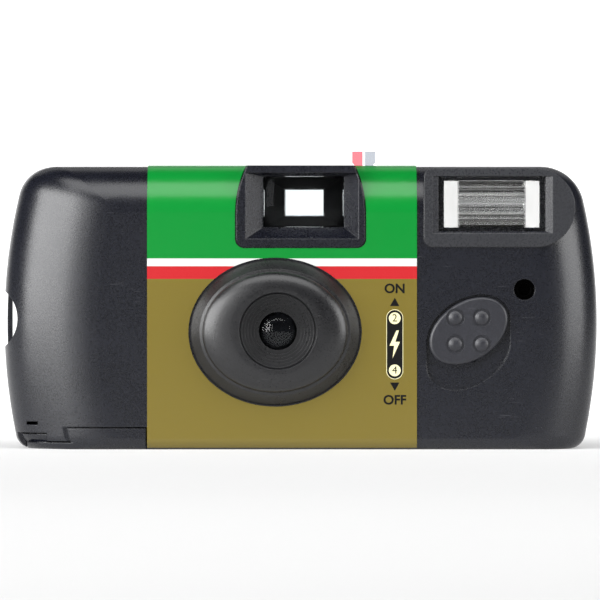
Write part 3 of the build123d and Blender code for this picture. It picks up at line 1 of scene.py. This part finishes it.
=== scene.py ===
import bpy
import math
from mathutils import Euler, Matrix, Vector


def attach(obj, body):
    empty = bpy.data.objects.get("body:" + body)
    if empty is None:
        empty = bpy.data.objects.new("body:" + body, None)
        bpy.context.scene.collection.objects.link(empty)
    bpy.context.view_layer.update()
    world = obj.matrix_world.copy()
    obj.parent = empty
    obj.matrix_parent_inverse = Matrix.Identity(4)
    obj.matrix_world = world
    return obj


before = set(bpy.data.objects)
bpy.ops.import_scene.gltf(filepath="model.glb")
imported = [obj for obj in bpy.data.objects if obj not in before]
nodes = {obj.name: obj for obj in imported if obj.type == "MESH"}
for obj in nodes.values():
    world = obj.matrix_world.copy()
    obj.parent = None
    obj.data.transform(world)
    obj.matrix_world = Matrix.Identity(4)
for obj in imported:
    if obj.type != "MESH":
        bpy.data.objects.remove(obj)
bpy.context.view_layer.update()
MM = 0.001


# Covers: front, back and cartridge door are one finely grained black moulding each, snapped
# together. Handling has left hair scratches and a few dust specks.
class Wire:
    """An output of a shader node, so that shader maths reads as plain sums."""

    def __init__(self, finish, socket):
        self.finish, self.socket = finish, socket

    def __add__(self, other):
        return self.finish.maths("ADD", self, other)

    __radd__ = __add__

    def __sub__(self, other):
        return self.finish.maths("SUBTRACT", self, other)

    def __rsub__(self, other):
        return self.finish.maths("SUBTRACT", other, self)

    def __mul__(self, other):
        return self.finish.maths("MULTIPLY", self, other)

    __rmul__ = __mul__

    def __gt__(self, other):
        return self.finish.maths("GREATER_THAN", self, other)

    def __lt__(self, other):
        return self.finish.maths("LESS_THAN", self, other)

    def __abs__(self):
        return self.finish.maths("ABSOLUTE", self)

    def squared(self):
        return self * self

    def wave(self, pitch):
        """Swings between 0 and 1 along this place, with one crest in each pitch."""
        return self.finish.maths("SINE", self * (2 * math.pi / pitch)) * 0.5 + 0.5

    def ramp(self, low, high):
        """0 below low, 1 above high, and a smooth rise between."""
        sockets = {"Value": self, "From Min": low, "From Max": high}
        return self.finish.node("ShaderNodeMapRange", {"interpolation_type": "SMOOTHSTEP"}, sockets)


class Finish:
    """A material whose look is worked out from the place on the piece, in millimetres."""

    def __init__(self, name, **constants):
        self.material = bpy.data.materials.new(name)
        self.material.use_nodes = True
        self.tree = self.material.node_tree
        self.shader = self.tree.nodes["Principled BSDF"]
        for socket, value in constants.items():
            self.shader.inputs[socket.replace("_", " ")].default_value = value
        metres = self.node("ShaderNodeTexCoord", {}, {}, "Object")
        sockets = {"Vector": metres, "Scale": 1 / MM}
        self.place = self.node("ShaderNodeVectorMath", {"operation": "SCALE"}, sockets)
        self.x, self.y, self.z = (
            self.node("ShaderNodeSeparateXYZ", {}, {"Vector": self.place}, axis) for axis in "XYZ"
        )

    def node(self, kind, settings, sockets, output=0):
        """One node: its settings first, then values or wires into its sockets."""
        made = self.tree.nodes.new(kind)
        for setting, value in settings.items():
            setattr(made, setting, value)
        for key, value in sockets.items():
            if isinstance(key, int):
                socket = made.inputs[key]
            else:
                socket = next(s for s in made.inputs if s.enabled and key in (s.identifier, s.name))
            if isinstance(value, Wire):
                self.tree.links.new(value.socket, socket)
            else:
                socket.default_value = value
        return Wire(self, made.outputs[output])

    def maths(self, operation, *values):
        return self.node("ShaderNodeMath", {"operation": operation}, dict(enumerate(values)))

    def noise(self, size, detail=2.0, roughness=0.5, stretch=(1, 1, 1)):
        """Cloudy noise whose lumps are about this many millimetres across."""
        place = self.node("ShaderNodeMapping", {}, {"Vector": self.place, "Scale": stretch})
        sockets = {"Vector": place, "Scale": 1 / size, "Detail": detail, "Roughness": roughness}
        return self.node("ShaderNodeTexNoise", {}, sockets)

    def specks(self, spacing, radius, spared=0.66):
        """Small dots in cells of this size, of which this share stays clean."""
        sockets = {"Vector": self.place, "Scale": 1 / spacing}
        distance = self.node("ShaderNodeTexVoronoi", {}, sockets, "Distance")
        colour = self.node("ShaderNodeTexVoronoi", {}, sockets, "Color")
        chosen = self.node("ShaderNodeSeparateColor", {}, {"Color": colour}, "Red") > spared
        return (distance < radius / spacing) * chosen

    def mix(self, share, low, high):
        """Blend of two colours."""
        colour_output = 2
        sockets = {"Factor_Float": share, "A_Color": low, "B_Color": high}
        return self.node("ShaderNodeMix", {"data_type": "RGBA"}, sockets, colour_output)

    def blend(self, share, first, second):
        """Blend of two shaders."""
        return self.node("ShaderNodeMixShader", {}, {0: share, 1: first, 2: second})

    def bump(self, height, depth, edge=0.0):
        """Relief in millimetres, over edges that are softened by a small round."""
        sockets = {"Height": height, "Distance": depth * MM, "Strength": 1.0}
        if edge:
            sockets["Normal"] = self.node("ShaderNodeBevel", {"samples": 4}, {"Radius": edge * MM})
        return self.node("ShaderNodeBump", {}, sockets)

    def feed(self, **wires):
        for socket, wire in wires.items():
            self.tree.links.new(wire.socket, self.shader.inputs[socket.replace("_", " ")])
        return self.material


def dress(material, *names):
    """Give CAD nodes this material in every slot."""
    for name in names:
        slots = nodes[name].data.materials
        slots.clear()
        slots.append(material)


def toned(colour, share=1.0):
    """Opaque colour, darker or lighter by this share."""
    return (*(min(share * channel, 1) for channel in colour), 1)


def moulded_black(name, colour, worn, gloss, grain_size, grain_depth, edge=0.12, shine=0.5):
    """Black plastic with its grain, dust specks and hair scratches."""
    darkest, lightest = 0.5, 1.6
    cloud_size, patch_size, patch_level = 9.0, 6.0, 0.56
    scratch_width, scratch_level, scratch_share = 0.16, 0.735, 0.18
    speck_spacing, speck_radius, speck_share = 5.5, 0.07, 0.7
    finish = Finish(name, IOR=1.53, Specular_IOR_Level=shine)
    cloud = finish.noise(cloud_size, detail=3.0)
    grain = finish.noise(grain_size, roughness=0.6)
    scratch = finish.noise(scratch_width, detail=1.0, stretch=(0.05, 1, 1.4)) > scratch_level
    scratch = scratch * (finish.noise(patch_size) > patch_level)
    marks = finish.specks(speck_spacing, speck_radius) * speck_share + scratch * scratch_share
    tone = cloud * 0.4 + grain.ramp(0.35, 0.75) * 0.6
    plain = finish.mix(tone, toned(colour, darkest), toned(colour, lightest))
    finish.shade = finish.mix(marks, plain, toned(worn))
    finish.feed(
        Base_Color=finish.shade,
        Roughness=gloss + (cloud - 0.5) * 0.08 + (grain - 0.5) * 0.16 + marks * 0.2,
        Normal=finish.bump(grain, grain_depth, edge),
    )
    return finish


cover = moulded_black(
    "cover_plastic", colour=(0.0034, 0.0040, 0.0078), worn=(0.20, 0.20, 0.22),
    gloss=0.28, grain_size=0.30, grain_depth=0.012, edge=0.25,
)

# The flash panel stands out of the front and is a little duller than the rest of it. The inside of the
# small blind hole beside the switch is painted shade: pure black, and metallic so that it shines back
# nothing.
panel_face, panel_left, panel_share, panel_grey = -13.3, 20.0, 0.7, (0.030, 0.031, 0.034)
hole_x, hole_z, hole_radius, hole_mouth, hole_depth = 40.5, 28.9, 1.95, -12.95, 3.0
hole_shade_black, hole_shade_metallic = (0.0, 0.0, 0.0), 0.96
panel = (cover.y < panel_face) * (cover.x > panel_left)
from_hole = (cover.x - hole_x).squared() + (cover.z - hole_z).squared()
# Painted shade: the inside of the blind hole is black and reflects nothing.
hole_painted_shade = (from_hole < hole_radius**2) * (cover.y > hole_mouth) * (cover.y < hole_mouth + hole_depth)
panel_shade = cover.mix(panel * panel_share, cover.shade, toned(panel_grey))
cover.feed(Base_Color=cover.mix(hole_painted_shade, panel_shade, toned(hole_shade_black)), Metallic=hole_painted_shade * hole_shade_metallic)
dress(cover.material, "front_cover", "rear_cover", "cartridge_door")


# Printed sleeve: a glossy film, glued round the middle of the body. Bands of green, white,
# red and gold run round it, and everything else that was printed on it is left bare.
sleeve = Finish("printed_sleeve", Specular_IOR_Level=0.45)
gold, red = (0.137, 0.104, 0.016), (0.40, 0.014, 0.018)
white, green = (0.56, 0.57, 0.55), (0.0, 0.180, 0.021)
band_feet, band_blur = {30.8: red, 33.1: white, 34.5: green}, 0.04
rubbed_paper, wear_share = (0.75, 0.75, 0.72), 0.5
sleeve_shade = toned(gold)
for foot, band in band_feet.items():
    sleeve_shade = sleeve.mix(sleeve.z.ramp(foot - band_blur, foot + band_blur), sleeve_shade, toned(band))
sleeve_cloud = sleeve.noise(14.0, detail=3.0)
sleeve_wear = sleeve.specks(7.0, 0.08) * wear_share
sleeve_relief = sleeve.noise(1.6, detail=3.0) + sleeve.noise(0.12) * 0.15
sleeve.feed(
    Base_Color=sleeve.mix(sleeve_wear, sleeve_shade, toned(rubbed_paper)),
    Roughness=0.25 + (sleeve_cloud - 0.5) * 0.08 + sleeve_wear * 0.2,
    Normal=sleeve.bump(sleeve_relief, 0.012),
)
dress(sleeve.material, "label")


# Marks beside the flash switch, printed on the sleeve in black and pale ink: ON and OFF, two
# arrow heads, and a dark slot sign with two numbered discs and a flash sign between them.
def ink(name, colour):
    """Flat print, slightly uneven where it was laid on."""
    finish = Finish(name, Specular_IOR_Level=0.15)
    cloud = finish.noise(0.5, detail=3.0)
    return finish.feed(
        Base_Color=finish.mix(cloud, toned(colour, 0.85), toned(colour, 1.1)),
        Roughness=0.38 + (cloud - 0.5) * 0.1,
    )


black_ink = ink("black_ink", (0.005, 0.005, 0.005))
pale_ink = ink("pale_ink", (0.74, 0.70, 0.42))
sleeve_face, ink_step, ink_root = -13.2, 0.015, 0.05
upright = Euler((math.pi / 2, 0, 0))


def print_mark(name, outline, layer, colour):
    """One flat mark: an outline in X and Z, laid on the sleeve's front as a thin prism."""
    front, back = sleeve_face - ink_step * layer, sleeve_face + ink_root
    count = len(outline)
    points = [(x * MM, y * MM, z * MM) for y in (front, back) for x, z in outline]
    faces = [tuple(range(count)), tuple(range(2 * count - 1, count - 1, -1))]
    faces += [(i, i + count, (i + 1) % count + count, (i + 1) % count) for i in range(count)]
    mesh = bpy.data.meshes.new(name)
    mesh.from_pydata(points, [], faces)
    mesh.validate()
    mark = bpy.data.objects.new(name, mesh)
    mark.data.materials.append(colour)
    bpy.context.scene.collection.objects.link(mark)
    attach(mark, "camera")
    return mark


def arc(x, z, radius, start, end, steps):
    """Points along a round, with angles in degrees from +X."""
    angles = [math.radians(start + (end - start) * i / steps) for i in range(steps + 1)]
    return [(x + radius * math.cos(a), z + radius * math.sin(a)) for a in angles]


def letters(name, text, height, place, turn, body, bold=0.0):
    """Plain sans-serif lettering in black ink, as a mesh centred on its place."""
    capital_share, thickness, curve_steps = 0.70, 0.03, 4
    curve = bpy.data.curves.new(name, "FONT")
    curve.body = text
    curve.size = height * MM / capital_share
    curve.align_x, curve.align_y = "CENTER", "CENTER"
    curve.extrude = thickness / 2 * MM
    curve.offset = bold * MM
    curve.resolution_u = curve_steps
    maker = bpy.data.objects.new(name + "_curve", curve)
    bpy.context.scene.collection.objects.link(maker)
    bpy.context.view_layer.update()
    mesh = bpy.data.meshes.new_from_object(maker.evaluated_get(bpy.context.evaluated_depsgraph_get()))
    bpy.data.objects.remove(maker)
    mesh.materials.clear()
    mesh.materials.append(black_ink)
    written = bpy.data.objects.new(name, mesh)
    bpy.context.scene.collection.objects.link(written)
    written.location = [c * MM for c in place]
    written.rotation_euler = turn
    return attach(written, body)


mark_x, pill_half, pill_low, pill_high, pill_rim = 17.1, 1.42, 12.8, 25.2, 0.10


def pill(grow):
    """Upright slot shape with round ends."""
    radius, steps = pill_half + grow, 20
    low = arc(mark_x, pill_low + pill_half, radius, 180, 360, steps)
    high = arc(mark_x, pill_high - pill_half, radius, 0, 180, steps)
    return low + high


print_mark("pill_border", pill(pill_rim), 1, pale_ink)
print_mark("pill", pill(0), 2, black_ink)
disc_radius, disc_inset, disc_steps, number_height = 1.06, 1.5, 50, 1.35
for number, disc_z in (("2", pill_high - disc_inset), ("4", pill_low + disc_inset)):
    disc = arc(mark_x, disc_z, disc_radius, 0, 360 * (disc_steps - 1) / disc_steps, disc_steps - 1)
    print_mark("disc_" + number, disc, 3, pale_ink)
    place = (mark_x, sleeve_face - ink_step * 3, disc_z)
    letters("number_" + number, number, number_height, place, upright, "camera")

flash_z = 19.0
bolt = [(0.30, 2.5), (-0.95, -0.25), (-0.12, -0.25), (-0.40, -2.5), (0.95, 0.45), (0.10, 0.45), (0.75, 2.5)]
print_mark("flash_sign", [(mark_x + x, flash_z + z) for x, z in bolt], 3, pale_ink)

arrow_head = [(-0.85, 0.0), (0.85, 0.0), (0.0, 1.5)]
for name, foot_z, way in (("arrow_up", 25.9, 1), ("arrow_down", 12.1, -1)):
    print_mark(name, [(mark_x + way * x, foot_z + way * z) for x, z in arrow_head], 1, black_ink)

word_height, word_bold = 1.65, 0.06
for word, word_z in (("ON", 29.0), ("OFF", 8.9)):
    place = (mark_x, sleeve_face - ink_step, word_z)
    written = letters("word_" + word.lower(), word, word_height, place, upright, "camera", word_bold)


# Lens surround: an oval satin moulding glued into the sleeve's hole, its dished face finely
# grained. The stepped funnel behind it holds the lens and keeps stray light out.
bezel = moulded_black(
    "bezel_plastic", colour=(0.0085, 0.0085, 0.0095), worn=(0.16, 0.16, 0.17),
    gloss=0.30, grain_size=0.30, grain_depth=0.020, edge=0.08,
)
dress(bezel.material, "lens_bezel", "lens_retainer")


# Clear mouldings: taking lens, finder lenses, counter magnifier and flash window, all of
# polished acrylic. They are snapped in, and the light passes straight through most of them.
def clear_plastic(name, tint, shine_index):
    """Polished clear moulding: its smears, and what passes through it or shines off it."""
    finish = Finish(name, IOR=1.49, Transmission_Weight=1.0, Specular_IOR_Level=0.5)
    finish.smear = finish.noise(3.5, detail=4.0)
    finish.feed(
        Base_Color=finish.mix(finish.smear, toned(tint, 0.97), toned(tint)),
        Roughness=0.02 + finish.smear * 0.04,
    )
    passing = finish.node("ShaderNodeBsdfTransparent", {}, {"Color": toned(tint)})
    gloss = finish.node("ShaderNodeBsdfGlossy", {}, {"Color": (1, 1, 1, 1), "Roughness": 0.05})
    shine = finish.node("ShaderNodeFresnel", {}, {"IOR": shine_index})
    finish.straight = finish.blend(shine, passing, gloss)
    return finish


def bend(finish, share):
    """Let the clear moulding bend this share of the light, and pass the rest straight on."""
    both = finish.blend(share, finish.straight, Wire(finish, finish.shader.outputs[0]))
    finish.tree.links.new(both.socket, finish.tree.nodes["Material Output"].inputs[0])
    return finish.material


smear_share = 0.02
lens_plastic = clear_plastic("lens_plastic", tint=(0.94, 0.96, 0.97), shine_index=1.24)
dress(bend(lens_plastic, 0.0), "lens_element", "viewfinder_objective")
magnifier = clear_plastic("magnifier_plastic", tint=(0.96, 0.97, 0.97), shine_index=1.42)
dress(bend(magnifier, magnifier.smear * smear_share), "viewfinder_eyepiece", "counter_window")

# The flash window is frosted over the two slanted ends of the reflector, and its middle is
# ribbed, so that it bends the light.
window = clear_plastic("window_plastic", tint=(0.98, 0.98, 0.98), shine_index=1.49)
window_x, window_z, ribbed_half, mouth_half, mouth_rise = 34.6, 44.3, 6.2, 8.6, 4.2
frost_white, frost_share, frost_from, frost_full, rib_share = (0.93, 0.93, 0.92), 0.42, 5.7, 6.3, 0.28
from_middle = abs(window.x - window_x)
frosted = from_middle.ramp(frost_from, frost_full) * (from_middle < mouth_half)
frosted = frosted * (abs(window.z - window_z) < mouth_rise)
frost = window.node("ShaderNodeBsdfDiffuse", {}, {"Color": toned(frost_white)})
window.straight = window.blend(frosted * frost_share, window.straight, frost)
dress(bend(window, smear_share + (from_middle < ribbed_half) * rib_share), "flash_window")


# Inner mouldings: chassis, shutter base and finder tube are dull black to swallow light. The
# striker, pawl, sprocket and switch slide are dark grey and run without grease.
chassis = moulded_black(
    "frame_plastic", colour=(0.009, 0.009, 0.010), worn=(0.08, 0.08, 0.08),
    gloss=0.55, grain_size=0.35, grain_depth=0.01,
)
dress(chassis.material, "main_frame", "shutter_base")
finder_tube = moulded_black(
    "finder_plastic", colour=(0.002, 0.002, 0.002), worn=(0.02, 0.02, 0.02),
    gloss=0.80, grain_size=0.35, grain_depth=0.02, shine=0.01,
)
dress(finder_tube.material, "viewfinder_housing")
mechanism = moulded_black(
    "mechanism_plastic", colour=(0.12, 0.12, 0.125), worn=(0.3, 0.3, 0.3),
    gloss=0.45, grain_size=0.5, grain_depth=0.006,
)
dress(mechanism.material, "shutter_lever", "wheel_pawl", "sprocket_wheel", "switch_slider")


# Touched mouldings: thumb wheel, spools, shutter button and switch knob are of a denser
# black plastic, polished a little by fingers where they are touched.
wheel = moulded_black(
    "wheel_plastic", colour=(0.016, 0.016, 0.018), worn=(0.2, 0.2, 0.2),
    gloss=0.42, grain_size=0.3, grain_depth=0.008, edge=0.06,
)
dress(wheel.material, "advance_wheel", "cassette_spool", "supply_spool")
knob = moulded_black(
    "knob_plastic", colour=(0.0125, 0.0130, 0.0180), worn=(0.22, 0.22, 0.24),
    gloss=0.40, grain_size=0.28, grain_depth=0.012, edge=0.08,
)
dress(knob.material, "switch_knob")
button = moulded_black(
    "button_plastic", colour=(0.02, 0.02, 0.023), worn=(0.2, 0.2, 0.2),
    gloss=0.30, grain_size=0.4, grain_depth=0.004,
)
dress(button.material, "shutter_button")


# Light guide: a clear moulding with two prongs, which rises out of the top while the flash
# is on. It sits on the switch slide, and its left prong is tinted red.
guide = Finish("guide_plastic", IOR=1.49, Transmission_Weight=1.0)
prong_gap, prong_blur, red_tint, clear_tint = 11.6, 0.1, (0.88, 0.24, 0.28), (0.50, 0.53, 0.58)
guide_smear = guide.noise(2.0, detail=3.0)
right_prong = guide.x.ramp(prong_gap - prong_blur, prong_gap + prong_blur)
guide.feed(
    Base_Color=guide.mix(right_prong, toned(red_tint), toned(clear_tint)),
    Roughness=0.06 + guide_smear * 0.08,
    Normal=guide.bump(guide_smear, 0.02),
)
dress(guide.material, "light_guide")


# Sheet metal: springs and cell contacts are rolled spring steel, the switch leaf and sync
# strip brass, and the blade and aperture plate steel blackened in a bath.
def rolled_metal(name, colour, rough, line_width, metallic=1.0, shine=0.5):
    """Rolled strip with fine lines along X."""
    finish = Finish(name, Metallic=metallic, Specular_IOR_Level=shine)
    lines = finish.noise(line_width, detail=3.0, stretch=(0.06, 1, 1))
    stain = finish.noise(4.0, detail=3.0)
    return finish.feed(
        Base_Color=finish.mix(stain, toned(colour, 0.85), toned(colour)),
        Roughness=rough + (lines - 0.5) * 0.15,
        Normal=finish.bump(lines, 0.003),
    )


spring_steel = rolled_metal("spring_steel", (0.60, 0.60, 0.61), rough=0.28, line_width=0.10)
dress(spring_steel, "blade_spring", "lever_spring", "battery_contact_negative", "battery_contact_positive")
blackened_steel = rolled_metal(
    "blackened_steel", (0.003, 0.003, 0.004), rough=0.55, line_width=0.15, metallic=0.0, shine=0.06
)
dress(blackened_steel, "aperture_plate", "shutter_blade")
contact_brass = rolled_metal("contact_brass", (0.78, 0.60, 0.28), rough=0.25, line_width=0.10)
dress(contact_brass, "switch_leaf", "sync_contact")


# Flash reflector: pressed from bright-dipped aluminium and clipped behind the window. Its slanted ends are
# frosted white. Along its trough, dark and bright bands are painted light, standing for the bands that the
# ribbed window makes by bending the light.
reflector = Finish("reflector_metal")
painted_band_pitch, painted_band_dark, painted_band_bright = 0.85, (0.16, 0.16, 0.15), (0.98, 0.98, 0.97)
end_white, end_blur = (0.99, 0.99, 0.98), 1.0
# Painted light: dark and bright bands in the trough's colour, where the ribbed window's bending would make
# them.
trough_painted_bands = reflector.mix(reflector.z.wave(painted_band_pitch), toned(painted_band_dark), toned(painted_band_bright))
slanted_end = abs(reflector.x - window_x).ramp(ribbed_half, ribbed_half + end_blur)
reflector.feed(
    Base_Color=reflector.mix(slanted_end, trough_painted_bands, toned(end_white)),
    Metallic=1.0 - slanted_end * 0.85,
    Roughness=0.14 + slanted_end * 0.15 + reflector.noise(0.8) * 0.04,
)
dress(reflector.material, "flash_reflector")


# Flash tube and ready lamp: small glass bulbs with a soldered wire at each end. The tube is
# nearly clear, and the neon lamp milky.
def bulb_glass(name, tint, clear):
    """Thin glass with a patchy haze."""
    finish = Finish(name, IOR=1.47, Transmission_Weight=clear, Alpha=1 - 0.7 * clear)
    haze = finish.noise(1.2, detail=3.0)
    return finish.feed(
        Base_Color=finish.mix(haze, toned(tint, 0.8), toned(tint)),
        Roughness=0.08 + haze * 0.06,
    )


dress(bulb_glass("tube_glass", (0.90, 0.92, 0.93), clear=0.9), "flash_tube")
dress(bulb_glass("lamp_glass", (0.85, 0.55, 0.40), clear=0.4), "neon_lamp")


# Flash circuit: a board of green coated laminate with its parts soldered on, namely a sleeved
# capacitor, a transformer in yellow tape, a copper trigger coil and a plain jacketed cell.
def coated(name, colour, second, size, rough, metallic=0.0):
    """Two-tone coating, mottled at this size."""
    finish = Finish(name, Metallic=metallic)
    mottle = finish.noise(size, detail=3.0)
    return finish.feed(
        Base_Color=finish.mix(mottle.ramp(0.4, 0.6), toned(colour), toned(second)),
        Roughness=rough + (mottle - 0.5) * 0.1,
        Normal=finish.bump(mottle, 0.01),
    )


def ringed(name, colour, second, pitch, axis, rough, metallic):
    """Coil or jacket ringed along one axis."""
    finish = Finish(name, Metallic=metallic)
    rings = getattr(finish, axis).wave(pitch)
    mottle = finish.noise(1.0)
    return finish.feed(
        Base_Color=finish.mix(rings * 0.6 + mottle * 0.4, toned(colour), toned(second)),
        Roughness=rough + (mottle - 0.5) * 0.1,
        Normal=finish.bump(rings, 0.03),
    )


dress(coated("board_laminate", (0.05, 0.19, 0.07), (0.07, 0.24, 0.09), size=1.5, rough=0.3), "flash_board")
dress(
    coated("capacitor_can", (0.012, 0.012, 0.014), (0.018, 0.018, 0.02), size=5.0, rough=0.25),
    "flash_capacitor",
)
dress(
    coated("transformer_core", (0.30, 0.24, 0.06), (0.36, 0.29, 0.08), size=2.0, rough=0.4),
    "flash_transformer",
)
coil_copper = ringed(
    "coil_copper", (0.45, 0.20, 0.09), (0.80, 0.42, 0.22), pitch=0.3, axis="z", rough=0.3, metallic=1.0
)
dress(coil_copper, "trigger_coil")
battery_can = ringed(
    "battery_can", (0.10, 0.10, 0.11), (0.13, 0.13, 0.14), pitch=9.0, axis="x", rough=0.3, metallic=0.4
)
dress(battery_can, "battery")


# Film: the brown strip and its pre-wound roll lie in front of the back. The cassette at the
# other end has a painted metal shell and a light trap of black velvet.
dress(
    coated("film_base", (0.10, 0.05, 0.035), (0.12, 0.06, 0.045), size=6.0, rough=0.22),
    "film_strip", "film_roll",
)
dress(
    coated("cassette_metal", (0.30, 0.31, 0.33), (0.34, 0.35, 0.37), size=8.0, rough=0.35, metallic=0.3),
    "cassette_shell",
)
dress(
    coated("cassette_velvet", (0.006, 0.006, 0.006), (0.014, 0.014, 0.014), size=0.15, rough=0.95),
    "cassette_felt",
)


# Frame counter: a white toothed disc under its magnifier, with plain numbers printed at every
# third frame.
dress(coated("dial_plastic", (0.80, 0.80, 0.77), (0.84, 0.84, 0.81), size=3.0, rough=0.4), "counter_dial")
dial_x, dial_y, dial_face, number_radius, number_lift = -12.0, 4.5, 48.4, 4.8, 0.01
last_frame, numbered_step, degrees_per_frame, counter_height = 27, 3, 9.0, 1.3
for frames in range(0, last_frame + 1, numbered_step):
    angle = math.radians(90 + degrees_per_frame * frames)
    number_x = dial_x + number_radius * math.cos(angle)
    number_y = dial_y + number_radius * math.sin(angle)
    place, turn = (number_x, number_y, dial_face + number_lift), Euler((0, 0, angle - math.pi / 2))
    letters(f"frame_{frames}", str(frames), counter_height, place, turn, "counter")


# Studio: a sweep of matt pale paper that curves up behind the camera. It glows behind the
# object, so that it reads as white there, and is dark in front and high up, where it would
# only grey the black plastic.
near, far, wall_bend, wall_top, half_width, bend_steps = -3.0, 1.6, 0.8, 3.2, 3.5, 12
profile = [(near, 0.0)]
for step in range(bend_steps + 1):
    angle = math.pi / 2 * step / bend_steps
    profile.append((far - wall_bend * (1 - math.sin(angle)), wall_bend * (1 - math.cos(angle))))
profile.append((far, wall_top))
points = [(x, y, z) for y, z in profile for x in (-half_width, half_width)]
faces = [(2 * i, 2 * i + 1, 2 * i + 3, 2 * i + 2) for i in range(len(profile) - 1)]
sweep_mesh = bpy.data.meshes.new("sweep")
sweep_mesh.from_pydata(points, [], faces)
for face in sweep_mesh.polygons:
    face.use_smooth = True
sweep = bpy.data.objects.new("sweep", sweep_mesh)
bpy.context.scene.collection.objects.link(sweep)

paper = Finish("studio_paper", Roughness=0.9, Emission_Strength=1.0)
paper_low, paper_high, paper_dark = (0.50, 0.50, 0.50), (0.53, 0.53, 0.53), (0.06, 0.06, 0.06)
glow, no_glow = (1.0, 1.0, 1.0), (0.05, 0.05, 0.05)
front_edge, high_edge, back_edge, side_edge = (-900, -560), (450, 900), (-250, 500), (600, 1500)
lit = paper.y.ramp(*front_edge) * (1.0 - paper.z.ramp(*high_edge))
behind = paper.y.ramp(*back_edge) * (1.0 - abs(paper.x).ramp(*side_edge)) * lit
paper_shade = paper.mix(paper.noise(400.0), toned(paper_low), toned(paper_high))
paper.feed(
    Base_Color=paper.mix(lit, toned(paper_dark), paper_shade),
    Emission_Color=paper.mix(behind, toned(no_glow), toned(glow)),
)
sweep.data.materials.append(paper.material)

# Soft boxes at the left, at the right, overhead and behind, given as place, size and watts.
# The dark gap straight in front keeps the flat front of the body dark.
softboxes = {
    "left_box": ((-0.88, -0.60, 0.30), (1.10, 0.68), 22.0),
    "left_edge": ((-0.42, -1.02, 0.24), (0.22, 0.46), 0.8),
    "right_box": ((0.62, -0.30, 0.20), (0.46, 0.42), 3.3),
    "top_box": ((0.0, -0.40, 0.70), (1.00, 0.54), 6.2),
    "back_box": ((0.0, 0.90, 0.90), (1.60, 0.50), 1.2),
}
body_middle = Vector((0, 0, 0.025))
for box_name, (place, size, watts) in softboxes.items():
    light = bpy.data.lights.new(box_name, "AREA")
    light.shape = "RECTANGLE"
    light.size, light.size_y = size
    light.energy = watts
    lamp = bpy.data.objects.new(box_name, light)
    lamp.location = place
    lamp.rotation_euler = (body_middle - Vector(place)).to_track_quat("-Z", "Y").to_euler()
    bpy.context.scene.collection.objects.link(lamp)

studio_air = bpy.data.worlds.new("studio_air")
studio_air.use_nodes = True
air = studio_air.node_tree.nodes["Background"].inputs
air["Color"].default_value, air["Strength"].default_value = (0.93, 0.95, 1.0, 1), 0.06
bpy.context.scene.world = studio_air
bpy.context.scene.view_settings.view_transform = "Standard"

# The viewpoint is level with the middle of the camera body and far off, as in the photo.
view_distance, view_height, view_width, front_face = 1.0, 27.0 * MM, 108.3 * MM, -13.0 * MM
viewpoint = bpy.data.cameras.new("viewpoint")
viewpoint.sensor_width = 36
viewpoint.lens = viewpoint.sensor_width * (view_distance + front_face) / view_width
eye = bpy.data.objects.new("viewpoint", viewpoint)
eye.location = (0, -view_distance, view_height)
eye.rotation_euler = upright
bpy.context.scene.collection.objects.link(eye)
bpy.context.scene.camera = eye
